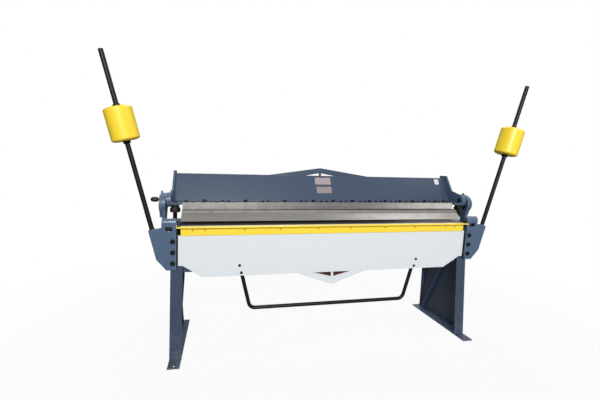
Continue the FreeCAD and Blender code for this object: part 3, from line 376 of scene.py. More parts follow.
def steel_group():
    """Bare steel: long streaks from the grinder, cross scratches, oil spots, and rims made lighter
    as a painted highlight.
    """
    tree, given, out = new_group(
        "Worked steel",
        [("Steel", "NodeSocketColor", (0.4, 0.4, 0.4, 1)), ("Streak", "NodeSocketFloat", 0.3),
         ("Spots", "NodeSocketFloat", 0.2), ("Roughness", "NodeSocketFloat", 0.35),
         ("Bright", "NodeSocketFloat", 0.5)],
        [("Steel", "NodeSocketColor"), ("Roughness", "NodeSocketFloat"),
         ("Height", "NodeSocketFloat")])
    place = node(tree, "TexCoord").outputs["Object"]
    streaks = noise(tree, place, 1.0, 4.0, 0.65, (2.5, 520.0, 520.0))
    bands = noise(tree, place, 1.0, 3.0, 0.6, (0.7, 95.0, 95.0))
    cross = noise(tree, place, 1.0, 2.0, 0.5, (700.0, 30.0, 30.0))
    spots = ramp(tree, noise(tree, place, 17.0, 6.0, 0.7), 0.5, 0.75)
    line = maths(tree, "ADD", maths(tree, "MULTIPLY", maths(tree, "SUBTRACT", streaks, 0.5), 1.6),
                 maths(tree, "MULTIPLY", maths(tree, "SUBTRACT", bands, 0.5), 1.5))
    tone = maths(tree, "MULTIPLY_ADD", line, given.outputs["Streak"], 1.0)
    tone = maths(tree, "MULTIPLY_ADD", maths(tree, "MULTIPLY", spots, given.outputs["Spots"]),
                 -0.55, tone)
    # Rims are made lighter: a painted highlight where a bevel would catch the light.
    rim = node(tree, "Attribute", {"attribute_name": "rim"}).outputs["Fac"]
    tone = maths(tree, "MULTIPLY_ADD", maths(tree, "MULTIPLY", rim, given.outputs["Bright"]),
                 0.6, tone)
    toned = node(tree, "VectorMath", {"operation": "SCALE"}, i0=given.outputs["Steel"],
                 Scale=tone).outputs[0]
    rough = maths(tree, "MULTIPLY_ADD", maths(tree, "SUBTRACT", streaks, 0.5), 0.25,
                  given.outputs["Roughness"])
    rough = maths(tree, "MULTIPLY_ADD", spots, 0.12, rough, clamp=True)
    height = maths(tree, "MULTIPLY_ADD", cross, 0.25, streaks)
    for label, socket in (("Steel", toned), ("Roughness", rough), ("Height", height)):
        tree.links.new(socket, out.inputs[label])
    return tree


def group_tree(name, maker):
    return bpy.data.node_groups.get(name) or maker()


def skin(name, group, result, values, metallic=0.0, relief=0.0002, strength=0.25, coat=0.0,
         shine=0.5):
    """A material: one shader, fed by a group with this material's own values."""
    made = bpy.data.materials.get(name)
    if made:
        return made
    made = bpy.data.materials.new(name)
    made.use_nodes = True
    tree = made.node_tree
    shader = tree.nodes["Principled BSDF"]
    for label, value in (("Metallic", metallic), ("Coat Weight", coat),
                         ("Coat Roughness", 0.1), ("Specular IOR Level", shine)):
        shader.inputs[label].default_value = value
    effect = tree.nodes.new("ShaderNodeGroup")
    effect.node_tree = group
    for label, value in values.items():
        effect.inputs[label].default_value = value
    bump = node(tree, "Bump", Distance=relief, Strength=strength,
                Height=effect.outputs["Height"])
    tree.links.new(effect.outputs[result], shader.inputs["Base Color"])
    tree.links.new(effect.outputs["Roughness"], shader.inputs["Roughness"])
    tree.links.new(bump.outputs["Normal"], shader.inputs["Normal"])
    return made


def paint(name, tint, rim_wear_and_light, drift=0.1, rim_share=0.5, rough=0.42, peel=1.0, dust=0.25, coat=0.0,
          relief=0.0002, shine=0.5):
    values = {"Paint": (*tint, 1), "Rubbed": (*rim_wear_and_light, 1), "Drift": drift, "Rub": rim_share,
              "Roughness": rough, "Peel": peel, "Dust": dust}
    return skin(name, group_tree("Sprayed paint", paint_group), "Paint", values, coat=coat,
                relief=relief, shine=shine)


def steel(name, tint, streak=0.3, spots=0.2, rough=0.36, rim_highlight=0.5, metallic=1.0, shine=0.5):
    values = {"Steel": (*tint, 1), "Streak": streak, "Spots": spots, "Roughness": rough,
              "Bright": rim_highlight}
    return skin(name, group_tree("Worked steel", steel_group), "Steel", values,
                metallic=metallic, relief=0.00006, strength=0.3, shine=shine)


def tints():
    return bpy.context.scene.brake_colours


def sizes():
    return bpy.context.scene.brake_sizes


# The second colour of each paint below goes on its rims: rubbed wear and painted light on the
# bevels.
def frame_paint():
    return paint("frame paint", tints().frame_paint, linear(120, 132, 152), drift=0.09,
                 rim_share=0.55, rough=0.38, coat=0.15)


def casting_paint(name="casting paint", coat=0.1):
    return paint(name, tints().casting_paint, linear(150, 160, 178), drift=0.12, rim_share=0.65,
                 rough=0.4, peel=2.2, coat=coat, relief=0.0004)


def bracket_paint():
    return casting_paint("bracket paint", 0.6)


def apron_paint():
    return paint("apron paint", tints().apron_paint, linear(214, 218, 222), drift=0.025,
                 rim_share=0.3, rough=0.34, dust=0.0, coat=0.1)


def yellow_paint(name, tint):
    return paint(name, tint, linear(255, 236, 130), drift=0.05, rim_share=0.3, rough=0.4, peel=0.05,
                 dust=0.0, coat=0.08)


def bar_paint():
    return yellow_paint("bar paint", tints().bar_paint)


# Painted shade in the screws' countersinks.
def screw_shade_paint():
    return yellow_paint("screw paint", tints().screw_shade_paint)


def weight_paint():
    return yellow_paint("weight paint", tints().weight_paint)


def black_paint():
    return paint("black paint", tints().black_paint, linear(86, 88, 94), drift=0.2, rim_share=0.5,
                 rough=0.45, dust=0.05, shine=0.3)


def red_primer():
    return paint("red primer", tints().red_primer, linear(140, 70, 45), drift=0.25, rim_share=0.3,
                 rough=0.75, peel=2.0)


def ground_steel():
    return steel("ground steel", tints().ground_steel, spots=0.22, rough=0.32)


def bed_steel():
    return steel("bed steel", tints().bed_steel, spots=0.5, rough=0.5, metallic=0.25)


# Darker tint as painted shade on the fingers' second slope; the higher roughness spreads its
# highlight.
def brow_shade_steel():
    return steel("relief steel", tints().brow_shade_steel, spots=0.3, rough=0.62)


# Painted shade on the fingers' shelves.
def shelf_shade():
    return steel("mill scale", tints().shelf_shade, streak=0.2, spots=0.5, rough=0.85,
                 metallic=0.0, shine=0.1)


# Near-black steel that stands in for shade: painted shade in recesses and gaps.
def painted_shade_steel():
    return steel("greased steel", tints().recess_shade, streak=0.1, spots=0.5, rough=0.5, metallic=0.2)


# Bolts' rims get a strong painted highlight.
def dark_steel():
    return steel("dark steel", tints().dark_steel, streak=0.2, spots=0.3, rough=0.38,
                 rim_highlight=1.4, metallic=0.6)


def blank_plate(name, tint):
    return steel(name, tint, streak=0.1, spots=0.05, rough=0.5, metallic=0.1)


def grip_plastic():
    return paint("grip plastic", tints().grip_plastic, linear(60, 60, 64), drift=0.2, rim_share=0.4,
                 rough=0.42, peel=0.8, dust=0.0, coat=0.05)


# ---- mesh helpers ----

def finished(name, bm, material, body, nodes=(), sharp=42):
    """Turn built faces into a piece that rides on a body."""
    mesh = bpy.data.meshes.new(name)
    bm.normal_update()
    bm.to_mesh(mesh)
    bm.free()
    if "custom_normal" in mesh.attributes:
        mesh.attributes.remove(mesh.attributes["custom_normal"])
    mesh.materials.clear()
    mesh.materials.append(material)
    mesh.polygons.foreach_set("use_smooth", [True] * len(mesh.polygons))
    mesh.polygons.foreach_set("material_index", [0] * len(mesh.polygons))
    mesh.set_sharp_from_angle(angle=math.radians(sharp))
    piece = bpy.data.objects.new(name, mesh)
    bpy.context.scene.collection.objects.link(piece)
    weighted = piece.modifiers.new("Weighted normals", "WEIGHTED_NORMAL")
    weighted.keep_sharp = True
    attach(piece, body)
    if nodes:
        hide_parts(*nodes)
    return piece


def second_skin(piece, material, chosen):
    """Give a further material to the faces that a test of their centre and normal picks."""
    piece.data.materials.append(material)
    for face in piece.data.polygons:
        if chosen(face.center, face.normal):
            face.material_index = len(piece.data.materials) - 1


def body_of(label):
    return next(body for body, labels in frame["record"]["behaviour"]["bodies"].items()
                if label in labels)


def softened(bm, edge, turn=28, steps=2):
    """Round the sharp edges and mark the rounding as rims."""
    rim = bm.loops.layers.float.get("rim") or bm.loops.layers.float.new("rim")
    bm.normal_update()
    sharp = [line for line in bm.edges if len(line.link_faces) == 2
             and line.calc_face_angle(0.0) > math.radians(turn)]
    made = bmesh.ops.bevel(bm, geom=sharp, offset=edge, offset_type="OFFSET", segments=steps,
                           profile=0.5, affect="EDGES", clamp_overlap=False, loop_slide=True)
    for face in made["faces"]:
        for loop in face.loops:
            loop[rim] = 1.0
    return bm


def from_frame(label):
    """The CAD faces of a node, with flat faces whole again."""
    bm = bmesh.new()
    bm.from_mesh(frame["nodes"][label].data)
    bmesh.ops.remove_doubles(bm, verts=bm.verts, dist=0.00002)
    bmesh.ops.dissolve_limit(bm, angle_limit=math.radians(0.6), verts=bm.verts, edges=bm.edges)
    return bm


def dressed(label, material, edge):
    """A CAD node with rounded edges, its rims marked for rubbed wear and painted light."""
    bm = softened(from_frame(label), edge)
    return finished(label + ".finished", bm, material, body_of(label), (label,))


def turned(bm, profile, place, steps=48, closed=False):
    """A turned shape from (radius, height) or (radius, height, hexagon) steps about local z."""
    rings = []
    for step in profile:
        radius, height = step[:2]
        if radius <= 0:
            rings.append([bm.verts.new(place @ Vector((0, 0, height)))])
            continue
        ring = []
        for k in range(steps):
            angle = 2 * math.pi * k / steps
            reach = radius
            if len(step) == 3:
                beside = (angle % (math.pi / 3)) - math.pi / 6
                reach = min(radius, step[2] * math.cos(math.pi / 6) / math.cos(beside))
            ring.append(bm.verts.new(place @ Vector(
                (reach * math.cos(angle), reach * math.sin(angle), height))))
        rings.append(ring)
    pairs = list(zip(rings, rings[1:]))
    if closed:
        pairs.append((rings[-1], rings[0]))
    for low, high in pairs:
        for k in range(steps):
            after = (k + 1) % steps
            corners = []
            for vert in (low[k % len(low)], low[after % len(low)],
                         high[after % len(high)], high[k % len(high)]):
                if vert not in corners:
                    corners.append(vert)
            if len(corners) > 2:
                bm.faces.new(corners)
    bmesh.ops.recalc_face_normals(bm, faces=bm.faces)
    return bm


def rounded(points, radius, steps=6, closed=False):
    """A line of 2D points with each corner rounded."""
    smooth = []
    count = len(points)
    for k, here in enumerate(points):
        if not closed and k in (0, count - 1):
            smooth.append(here)
            continue
        here = Vector(here)
        before = Vector(points[k - 1]) - here
        after = Vector(points[(k + 1) % count]) - here
        bend = before.angle(after)
        cut = min(radius / math.tan(bend / 2), before.length * 0.49, after.length * 0.49)
        first = here + before.normalized() * cut
        last = here + after.normalized() * cut
        for j in range(steps + 1):
            t = j / steps
            smooth.append(tuple((1 - t) ** 2 * first + 2 * t * (1 - t) * here + t * t * last))
    return smooth


def swept(bm, points, across, radius, steps=24):
    """A round bar along points that lie in one plane, whose normal is across."""
    rings = []
    for k, here in enumerate(points):
        ahead = points[min(k + 1, len(points) - 1)] - points[max(k - 1, 0)]
        side = across.cross(ahead.normalized())
        size = radius(k) if callable(radius) else radius
        rings.append([bm.verts.new(here + size * (math.cos(angle) * across
                                                  + math.sin(angle) * side))
                      for angle in (2 * math.pi * j / steps for j in range(steps))])
    for low, high in zip(rings, rings[1:]):
        for j in range(steps):
            bm.faces.new((low[j], low[(j + 1) % steps], high[(j + 1) % steps], high[j]))
    bm.faces.new(rings[0][::-1])
    bm.faces.new(rings[-1])
    bmesh.ops.recalc_face_normals(bm, faces=bm.faces)
    return bm


def bead(bm, start, end, radius, side):
    """A weld bead with its ripples, side being a direction across it."""
    run = end - start
    count = max(4, int(run.length / (1.1 * MM)))
    points = [start + run * k / count for k in range(count + 1)]
    swell = [radius * (1 + 0.13 * math.sin(k * 1.55) + 0.05 * math.sin(k * 0.37))
             * min(1, 0.35 + 0.25 * min(k, count - k)) for k in range(count + 1)]
    return swept(bm, points, side.normalized(), lambda k: swell[k], 10)


def facing(place, direction):
    """A frame at a place whose z axis looks along a direction."""
    turn = Vector(direction).to_track_quat("Z", "Y").to_matrix().to_4x4()
    return Matrix.Translation(place) @ turn


def shift(x, y, z):
    """A move, its three parts in millimetres."""
    return Matrix.Translation(Vector((x, y, z)) * MM)


def scaled(place):
    """The place with millimetres as its unit."""
    return place @ Matrix.Scale(MM, 4)


def behind(across, back, up):
    """A place so far back from the bend line and up from the floor."""
    return Vector((across, BEND_LINE.y + back * MM, up * MM))


def on_leaf(across, front, drop):
    """A frame on the leaf that looks out of its front."""
    return LEAF @ facing(Vector((across, -front, -drop)) * MM, TO_FRONT)


def socket_head(bm, place, radius, height):
    """A round bolt head with a hexagon socket."""
    deep = height * 0.55
    key = radius * 0.56
    edge = radius * 0.14
    turned(bm, [(0, 0), (radius, 0), (radius, height - edge),
                (radius - 0.3 * edge, height - 0.3 * edge), (radius - edge, height),
                (key * 1.06, height), (key * 1.06, height - 0.04 * radius, key),
                (key, height - deep, key), (0, height - deep * 1.15)], place)


def nut(bm, place, radius, height, bore):
    """A hexagon nut, chamfered above and below."""
    flat = radius * math.cos(math.pi / 6)
    fall = (radius - flat) * 0.55
    rows = [(bore, 0, radius), (flat * 0.97, 0, radius), (radius, fall, radius),
            (radius, height - fall, radius), (flat * 0.97, height, radius), (bore, height, radius)]
    turned(bm, rows, place, closed=True)


def hex_head(bm, place, radius, height, washer, washer_radius):
    """A hexagon bolt head, chamfered on top, on its washer."""
    turned(bm, [(0, 0), (washer_radius * 0.96, 0), (washer_radius, washer * 0.2),
                (washer_radius, washer * 0.8), (washer_radius * 0.96, washer), (0, washer)],
           place)
    top = radius * math.cos(math.pi / 6) * 0.97
    chamfer = radius - top
    rows = [(0, washer, radius), (radius, washer, radius)]
    rows += [(top + chamfer * t, height - chamfer * t * 0.55, radius)
             for t in (1, 0.75, 0.5, 0.25, 0)]
    turned(bm, rows + [(0, height)], place)


# ---- operators ----

class BRAKE_OT_legs(bpy.types.Operator):
    """Legs with their braces, foot plates, welds and bolts"""
    bl_idname = "brake.legs"
    bl_label = "Legs and feet"

    def execute(self, context):
        edge = sizes().plate_edge
        radius = sizes().bead
        for name, side in SIDES.items():
            for piece, share in (("_leg", 1.6), ("_leg_brace", 1), ("_foot_plate", 1.3)):
                dressed(name + piece, frame_paint(), edge * share)
            bm = bmesh.new()
            corner = side * (LEG_OUT - CORNER_WELD_IN)
            flange = side * (LEG_OUT - FLANGE_WELD_IN)
            for across in (corner, flange):
                bead(bm, *[behind(across, *end) for end in LEG_WELD], radius * 0.8, OUT)
            bead(bm, *[behind(corner, *end) for end in FOOT_WELD], radius, UP)
            bead(bm, behind(side * TOE_WELD_ROWS[0], *TOE_WELD),
                 behind(side * TOE_WELD_ROWS[1], *TOE_WELD), radius, UP)
            finished(name + "_leg_welds", bm, frame_paint(), "frame", sharp=70)
        bm = bmesh.new()
        for side in SIDES.values():
            for up in LEG_BOLT_HEIGHTS:
                place = facing(behind(side * LEG_BOLT_ROW, LEG_BOLT_FACE, up), TO_FRONT)
                hex_head(bm, place, *FRAME_BOLT)
            for up in ARM_BOLT_HEIGHTS:
                place = facing(Vector((side * ARM_OUT, HEAD.y, up * MM)), (side, 0, 0))
                hex_head(bm, place, *FRAME_BOLT)
        finished("frame_bolts.finished", bm, dark_steel(), "frame",
                 ("frame_bolts",))
        return {"FINISHED"}


class BRAKE_OT_bed(bpy.types.Operator):
    """Bed bar, web, truss and ribs, and the bed ends with their hinge pins"""
    bl_idname = "brake.bed"
    bl_label = "Bed"

    def execute(self, context):
        edge = sizes().plate_edge
        dressed("bed_top_bar", bed_steel(), sizes().steel_edge)
        dressed("bed_web", frame_paint(), edge)
        dressed("bed_truss", red_primer(), edge)
        dressed("bed_ribs", frame_paint(), edge)
        for name in SIDES:
            end = dressed(name + "_bed_end", casting_paint(), edge)
            # Painted shade: the lugs by the hinge, in the shade behind the knuckles, get the
            # near-black steel.
            second_skin(end, painted_shade_steel(), lambda spot, way: (
                spot.y < BEND_LINE.y + LUG_BACK * MM and spot.z > BEND_LINE.z - LUG_DROP * MM))
        bm = bmesh.new()
        for k in (-1, 0, 1):
            for side in (-RIB_SIDE, RIB_SIDE):
                across = (k * RIB_PITCH + side) * MM
                bead(bm, *[behind(across, *end) for end in RIB_WELD], sizes().bead, OUT)
        bead(bm, behind(-WEB_WELD_HALF, *WEB_WELD), behind(WEB_WELD_HALF, *WEB_WELD),
             sizes().bead, UP)
        finished("bed_welds", bm, frame_paint(), "frame", sharp=70)
        bm = bmesh.new()
        for side in SIDES.values():
            place = facing(BEND_LINE + side * WORK_HALF * OUT, (side, 0, 0))
            turned(bm, PIN, scaled(place))
        finished("hinge_pins.finished", bm, ground_steel(), "frame",
                 ("hinge_pins",))
        return {"FINISHED"}


class BRAKE_OT_link_arms(bpy.types.Operator):
    """Cast arms that carry the eccentrics"""
    bl_idname = "brake.link_arms"
    bl_label = "Link arms"

    def execute(self, context):
        for name in SIDES:
            dressed(name + "_link_arm", casting_paint(), sizes().casting_edge)
        return {"FINISHED"}


class BRAKE_OT_leaf(bpy.types.Operator):
    """Folding leaf: apron plate, yellow angle bar with its screws, truss and end bars"""
    bl_idname = "brake.leaf"
    bl_label = "Folding leaf"

    def execute(self, context):
        edge = sizes().plate_edge
        dressed("leaf_plate", apron_paint(), edge * 0.8)
        dressed("angle_bar", bar_paint(), edge * 0.8)
        dressed("leaf_truss", apron_paint(), edge)
        bars = dressed("leaf_end_bars", casting_paint(), edge)
        # Painted shade: the end bars' fronts, recessed in shade between the apron and the
        # brackets, get the near-black steel.
        second_skin(bars, painted_shade_steel(), lambda spot, way: way.y < -0.3)
        bm = bmesh.new()
        head = BAR_SCREW_HEAD
        for across in BAR_SCREW_ROWS:
            for side in SIDES.values():
                place = on_leaf(side * across, BAR_SCREW_FACE, BAR_SCREW_DROP)
                turned(bm, [(0, 0), (head, 0), (head * 0.86, 1.3), (head * 0.6, 2.1),
                            (head * 0.45, 2.3), (head * 0.42, 1.2, head * 0.4), (0, 1)],
                       scaled(place), 36)
        # The screws get the darker yellow, a painted shade.
        finished("angle_bar_screws.finished", bm, screw_shade_paint(), "folding_leaf",
                 ("angle_bar_screws",))
        return {"FINISHED"}


class BRAKE_OT_brackets(bpy.types.Operator):
    """Cast end brackets of the leaf, and their bolts"""
    bl_idname = "brake.brackets"
    bl_label = "End brackets"

    def execute(self, context):
        level = LEAF.inverted()
        for name, side in SIDES.items():
            bracket = dressed(name + "_bracket", bracket_paint(),
                              sizes().casting_edge * 0.8)
            middle = level @ (BEND_LINE + Vector((side * WINDOW_ROW, 0, -WINDOW_DROP)) * MM)

            # Painted shade: the faces inside each knuckle's window get the near-black steel, as
            # the hole lies in shade.
            def in_window(spot, way):
                place = level @ spot
                return (abs(place.x - middle.x) < WINDOW_HALF_WIDTH * MM
                        and abs(place.z - middle.z) < WINDOW_HALF_HEIGHT * MM
                        and place.y > -BRACKET_FRONT * MM)

            second_skin(bracket, painted_shade_steel(), in_window)
        bm = bmesh.new()
        for side in SIDES.values():
            for drop in BRACKET_BOLT_DROPS:
                place = on_leaf(side * BRACKET_BOLT_ROW, BRACKET_FRONT, drop)
                socket_head(bm, place, *BRACKET_BOLT)
        finished("bracket_bolts.finished", bm, dark_steel(), "folding_leaf",
                 ("bracket_bolts",))
        return {"FINISHED"}


class BRAKE_OT_counterweights(bpy.types.Operator):
    """Leaning rods with their yellow counterweights and collars"""
    bl_idname = "brake.counterweights"
    bl_label = "Counterweights"

    def execute(self, context):
        turns = sizes().turns
        rim = sizes().weight_edge / MM
        collars = bmesh.new()
        for name, side in SIDES.items():
            place = (LEAF @ shift(side * ROD_ROW, -ROD_FRONT, 0)
                     @ Matrix.Rotation(ROD_LEAN * side, 4, "Y"))
            low, high = ROD_ENDS
            bar = rounded([(0, low), (ROD_RADIUS, low), (ROD_RADIUS, high), (0, high)], 2.5)
            bm = turned(bmesh.new(), bar, scaled(place), turns)
            finished(name + "_weight_rod.finished", bm, black_paint(), "folding_leaf",
                     (name + "_weight_rod",))
            crown = rounded([(WEIGHT_CROWN[0][0], 0), *WEIGHT_CROWN], rim, 5)
            profile = [(r, -z) for r, z in reversed(crown)] + crown[1:]
            bm = turned(bmesh.new(), profile, scaled(place @ shift(0, 0, WEIGHT_MIDDLE)),
                        turns * 3 // 2, closed=True)
            finished(name + "_counterweight.finished", bm, weight_paint(), "folding_leaf",
                     (name + "_counterweight",))
            thick = COLLAR[-1][1]
            for low in (WEIGHT_MIDDLE + WEIGHT_HALF, WEIGHT_MIDDLE - WEIGHT_HALF - thick):
                ring = rounded(COLLAR, 1.6, 3, closed=True)
                turned(collars, ring, scaled(place @ shift(0, 0, low)), turns, closed=True)
                screw = place @ facing(
                    Vector((0, -COLLAR_SCREW_OUT, low + thick / 2)) * MM, TO_FRONT)
                turned(collars, COLLAR_SCREW, scaled(screw), 24)
        finished("weight_collars.finished", collars, black_paint(), "folding_leaf",
                 ("weight_collars",))
        return {"FINISHED"}


class BRAKE_OT_pull_handle(bpy.types.Operator):
    """Bent tube under the leaf, and the bolts that hold it"""
    bl_idname = "brake.pull_handle"
    bl_label = "Pull handle"

    def execute(self, context):
        up = (HANDLE_TOP - HANDLE_FOOT).normalized()
        level = Vector((-1, 0))
        reach = HANDLE_BEND / math.tan(up.angle(level) / 2)
        first, last = HANDLE_FOOT + level * reach, HANDLE_FOOT + up * reach
        centre = first + Vector((0, HANDLE_BEND))
        swing = math.pi - up.angle(level)
        steps = 24
        arc = [centre + Matrix.Rotation(swing * k / steps, 2) @ (first - centre)
               for k in range(steps + 1)]
        half = [HANDLE_TOP, HANDLE_TOP - up * 3]
        half += [HANDLE_TOP.lerp(last, t) for t in (0.3, 0.6, 0.9)] + arc[::-1]
        line = half + [Vector((-point.x, point.y)) for point in reversed(half)]
        points = [LEAF @ (Vector((point.x, HANDLE_BACK, point.y)) * MM) for point in line]
        across = (LEAF.to_3x3() @ Vector((0, 1, 0))).normalized()
        count = len(points) - 1
        bm = swept(bmesh.new(), points, across,
                   lambda k: (HANDLE_RADIUS - (2 if k in (0, count) else 0)) * MM, 32)
        finished("pull_handle.finished", bm, black_paint(), "folding_leaf",
                 ("pull_handle",))
        bm = bmesh.new()
        slope = (HANDLE_TOP.x - HANDLE_FOOT.x) / (HANDLE_TOP.y - HANDLE_FOOT.y)
        for drop in HANDLE_BOLT_DROPS:
            for side in SIDES.values():
                across = side * (HANDLE_TOP.x - slope * (drop + HANDLE_TOP.y))
                socket_head(bm, on_leaf(across, HANDLE_BOLT_FACE, drop), *HANDLE_BOLT)
        finished("handle_bolts.finished", bm, dark_steel(), "folding_leaf",
                 ("handle_bolts",))
        return {"FINISHED"}


class BRAKE_OT_beam(bpy.types.Operator):
    """Clamping beam: base, sloping face, truss, ribs, end castings, stop screws and plates"""
    bl_idname = "brake.beam"
    bl_label = "Clamping beam"

    def execute(self, context):
        edge = sizes().plate_edge
        for piece, share in (("base_plate", 1), ("face_plate", 1.4), ("truss", 1), ("ribs", 1)):
            dressed("beam_" + piece, frame_paint(), edge * share)
        for name in SIDES:
            dressed(name + "_beam_end", casting_paint(), sizes().casting_edge * 0.6)
        bm = bmesh.new()
        for side in SIDES.values():
            place = scaled(BEAM @ shift(side * STOP_SCREW_ROW, STOP_SCREW_BACK, 0))
            turned(bm, STUD_FOOT + THREADS + STUD_TOP, place)
            nut(bm, place @ Matrix.Translation((0, 0, STOP_NUT_UP)), *STOP_NUT, STUD)
            turned(bm, rounded(STUD_COLLAR, 1.2, 3)[1:-1], place)
        finished("height_stop_screws.finished", bm, dark_steel(), "clamp_beam",
                 ("height_stop_screws",))
        bm = bmesh.new()
        foot = BEAM @ STITCH_FOOT
        for k in range(4):
            middle = foot + (k - 1.5) * STITCH_PITCH * OUT
            bead(bm, middle - STITCH_HALF * OUT, middle + STITCH_HALF * OUT, sizes().bead, UP)
        finished("beam_welds", bm, frame_paint(), "clamp_beam", sharp=70)
        self.blank_plates()
        return {"FINISHED"}

    def blank_plates(self):
        """Bare plates on the sloping face, each with four rivets."""
        base = BEAM @ shift(*FACE_FOOT) @ Matrix.Rotation(-FACE_SLOPE, 4, "X")
        rivets = bmesh.new()
        for name, tone, left, right, low, high in BLANK_PLATES:
            bm = bmesh.new()
            outline = rounded([(left, low), (right, low), (right, high), (left, high)], 3, 4,
                              closed=True)
            lower, upper = ([bm.verts.new(base @ (Vector((x, -out, z)) * MM)) for x, z in outline]
                            for out in (PLATE_BACK, PLATE_FRONT))
            bm.faces.new(lower)
            bm.faces.new(upper[::-1])
            for k in range(len(outline)):
                after = (k + 1) % len(outline)
                bm.faces.new((lower[k], lower[after], upper[after], upper[k]))
            inset = min(4.5, (high - low) / 6)
            for x in (left + inset, right - inset):
                for z in (low + inset, high - inset):
                    place = base @ facing(Vector((x, -PLATE_FRONT, z)) * MM, TO_FRONT)
                    turned(rivets, RIVET, scaled(place), 16)
            bmesh.ops.recalc_face_normals(bm, faces=bm.faces)
            softened(bm, 0.15 * MM, 40, 1)
            finished(name, bm, blank_plate(name.replace("_", " "), getattr(tints(), tone)),
                     "clamp_beam")
        finished("plate_rivets", rivets, ground_steel(), "clamp_beam")


class BRAKE_OT_fingers(bpy.types.Operator):
    """Row of thirteen clamping fingers with their bolts and setting screws"""
    bl_idname = "brake.fingers"
    bl_label = "Fingers"

    def execute(self, context):
        shelf = BEAM.translation.z + FINGER_SHELF * MM
        for k in range(len(FINGER_WIDTHS)):
            finger = dressed("finger_%02d" % (k + 1), ground_steel(),
                             sizes().steel_edge)
            # Painted shade: the second slope of each finger gets the darker steel.
            second_skin(finger, brow_shade_steel(), lambda spot, way: way.angle(FINGER_BROW) < 0.15)
            # Painted shade: the shelf faces get the near-black steel, for the dark line under the
            # upper face.
            second_skin(finger, shelf_shade(), lambda spot, way: way.z > 0.04
                        and abs(spot.z - shelf) < MM)
        bolts, screws = bmesh.new(), bmesh.new()
        start = -(sum(FINGER_WIDTHS) + (len(FINGER_WIDTHS) - 1) * FINGER_GAP) / 2
        for width in FINGER_WIDTHS:
            centre = start + width / 2
            hex_head(bolts, BEAM @ shift(centre, FINGER_BOLT_BACK, BASE_TOP), *FINGER_BOLT)
            for side in SIDES.values():
                across = centre + side * (width / 2 - SETTING_SCREW_INSET)
                socket_head(screws, BEAM @ shift(across, SETTING_SCREW_BACK, BASE_TOP),
                            *SETTING_SCREW)
            start += width + FINGER_GAP
        finished("finger_bolts.finished", bolts, dark_steel(), "clamp_beam",
                 ("finger_bolts",))
        finished("finger_screws.finished", screws, dark_steel(), "clamp_beam",
                 ("finger_screws",))
        return {"FINISHED"}


class BRAKE_OT_clamps(bpy.types.Operator):
    """Eccentrics with their levers, and the grip on the left lever"""
    bl_idname = "brake.clamps"
    bl_label = "Eccentric clamps"

    def execute(self, context):
        for name in SIDES:
            dressed(name + "_eccentric", dark_steel(), sizes().steel_edge)
            dressed(name + "_clamp_lever", casting_paint(), sizes().casting_edge)
        along = Vector((0, math.cos(LEVER_ANGLE), math.sin(LEVER_ANGLE))) * GRIP_REACH * MM
        place = facing(Vector((-(LEVER_IN + LEVER_THICK), HEAD.y, HEAD.z)) + along, (-1, 0, 0))
        bm = turned(bmesh.new(), GRIP, scaled(place), sizes().turns)
        finished("clamp_grip.finished", bm, grip_plastic(), "left_eccentric_body",
                 ("clamp_grip",), sharp=60)
        return {"FINISHED"}


def seen_from_camera(tree):
    """One for rays that see the floor and the room white: the camera's, also through glass."""
    path = node(tree, "LightPath")
    return maths(tree, "MAXIMUM", path.outputs["Is Camera Ray"],
                 path.outputs["Is Transmission Ray"])


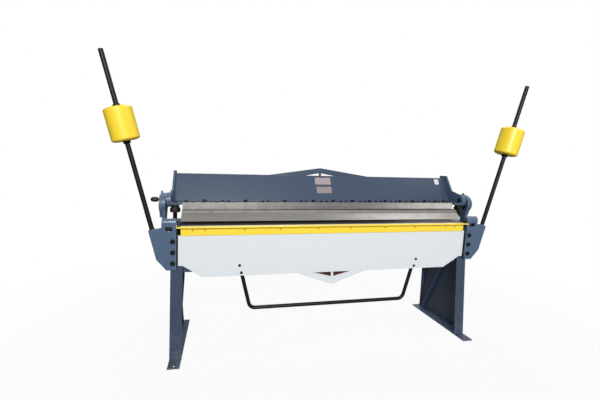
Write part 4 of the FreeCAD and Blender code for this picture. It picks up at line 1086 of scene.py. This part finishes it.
class BRAKE_OT_studio(bpy.types.Operator):
    """Pale floor, soft lamps, white room and the camera"""
    bl_idname = "brake.studio"
    bl_label = "Studio"

    def execute(self, context):
        self.floor()
        self.room()
        studio = context.scene.brake_studio
        for name, power, place, target, size in LAMPS:
            self.lamp(name, place, target, size, getattr(studio, power))
        self.camera()
        context.scene.view_settings.view_transform = "Standard"
        return {"FINISHED"}

    def floor(self):
        bm = bmesh.new()
        bmesh.ops.create_grid(bm, x_segments=8, y_segments=8, size=FLOOR_HALF)
        mesh = bpy.data.meshes.new("floor")
        bm.to_mesh(mesh)
        bm.free()
        made = bpy.data.materials.new("studio floor")
        made.use_nodes = True
        tree = made.node_tree
        tree.nodes.clear()
        out = tree.nodes.new("ShaderNodeOutputMaterial")
        place = node(tree, "TexCoord").outputs["Object"]
        tone = ramp(tree, noise(tree, place, 3.0), 0.3, 0.7, *FLOOR_TONES)
        pale = node(tree, "CombineColor", i0=tone, i1=tone, i2=tone).outputs[0]
        matt = node(tree, "BsdfDiffuse", Color=pale)
        white = node(tree, "Emission", Color=WHITE, Strength=1.0)
        away = node(tree, "VectorMath", {"operation": "LENGTH"}, i0=place).outputs["Value"]
        share = maths(tree, "MULTIPLY", seen_from_camera(tree), ramp(tree, away, *FLOOR_FADE))
        blend = node(tree, "MixShader", i0=share, i1=matt.outputs[0], i2=white.outputs[0])
        tree.links.new(blend.outputs[0], out.inputs["Surface"])
        mesh.materials.append(made)
        plane = bpy.data.objects.new("floor", mesh)
        bpy.context.scene.collection.objects.link(plane)
        plane.location.z = -FLOOR_DROP

    def room(self):
        world = bpy.data.worlds.new("white room")
        bpy.context.scene.world = world
        world.use_nodes = True
        tree = world.node_tree
        tree.nodes.clear()
        out = tree.nodes.new("ShaderNodeOutputWorld")
        soft = node(tree, "Background", Color=WHITE, Strength=bpy.context.scene.brake_studio.sky)
        white = node(tree, "Background", Color=WHITE, Strength=1.0)
        blend = node(tree, "MixShader", i0=seen_from_camera(tree), i1=soft.outputs[0],
                     i2=white.outputs[0])
        tree.links.new(blend.outputs[0], out.inputs["Surface"])

    def lamp(self, name, place, target, size, power):
        light = bpy.data.lights.new(name, "AREA")
        light.shape = "RECTANGLE"
        light.size = size
        light.size_y = size * LAMP_SHAPE
        light.energy = power
        lamp = bpy.data.objects.new(name, light)
        bpy.context.scene.collection.objects.link(lamp)
        lamp.matrix_world = facing(Vector(place), Vector(place) - Vector(target))

    def camera(self):
        yaw, pitch, roll = (math.radians(angle) for angle in CAMERA_TURNS)
        ahead = Vector((math.sin(yaw) * math.cos(pitch), math.cos(yaw) * math.cos(pitch),
                        -math.sin(pitch)))
        level = Vector((math.cos(yaw), -math.sin(yaw), 0))
        down = ahead.cross(level)
        right = math.cos(roll) * level + math.sin(roll) * down
        below = -math.sin(roll) * level + math.cos(roll) * down
        turn = Matrix((right, -below, -ahead)).transposed().to_4x4()
        view = bpy.data.cameras.new("front view")
        view.sensor_fit = "HORIZONTAL"
        view.sensor_width = SENSOR_WIDTH
        view.lens = bpy.context.scene.brake_studio.lens
        view.shift_x, view.shift_y = CAMERA_SHIFT
        camera = bpy.data.objects.new("front view", view)
        bpy.context.scene.collection.objects.link(camera)
        camera.matrix_world = Matrix.Translation(CAMERA_PLACE) @ turn
        bpy.context.scene.camera = camera


OPERATORS = (BRAKE_OT_legs, BRAKE_OT_bed, BRAKE_OT_link_arms, BRAKE_OT_leaf,
             BRAKE_OT_brackets, BRAKE_OT_counterweights, BRAKE_OT_pull_handle, BRAKE_OT_beam,
             BRAKE_OT_fingers, BRAKE_OT_clamps, BRAKE_OT_studio)


class BRAKE_PT_panel(bpy.types.Panel):
    """Lists the brake's pieces and its studio"""
    bl_idname = "BRAKE_PT_panel"
    bl_label = "Box and pan brake"
    bl_space_type = "VIEW_3D"
    bl_region_type = "UI"
    bl_category = "Brake"

    def draw(self, context):
        scene = context.scene
        for made in OPERATORS:
            self.layout.operator(made.bl_idname)
        for group in (scene.brake_colours, scene.brake_sizes, scene.brake_studio):
            box = self.layout.box()
            for word in group.__annotations__:
                box.prop(group, word)


CLASSES = (BrakeColours, BrakeSizes, BrakeStudio) + OPERATORS + (BRAKE_PT_panel,)


def register():
    for made in CLASSES:
        bpy.utils.register_class(made)
    bpy.types.Scene.brake_colours = PointerProperty(type=BrakeColours)
    bpy.types.Scene.brake_sizes = PointerProperty(type=BrakeSizes)
    bpy.types.Scene.brake_studio = PointerProperty(type=BrakeStudio)


def unregister():
    del bpy.types.Scene.brake_studio
    del bpy.types.Scene.brake_sizes
    del bpy.types.Scene.brake_colours
    for made in reversed(CLASSES):
        bpy.utils.unregister_class(made)


def main():
    register()
    for made in OPERATORS:
        area, verb = made.bl_idname.split(".")
        getattr(getattr(bpy.ops, area), verb)()


if __name__ == "__main__":
    main()
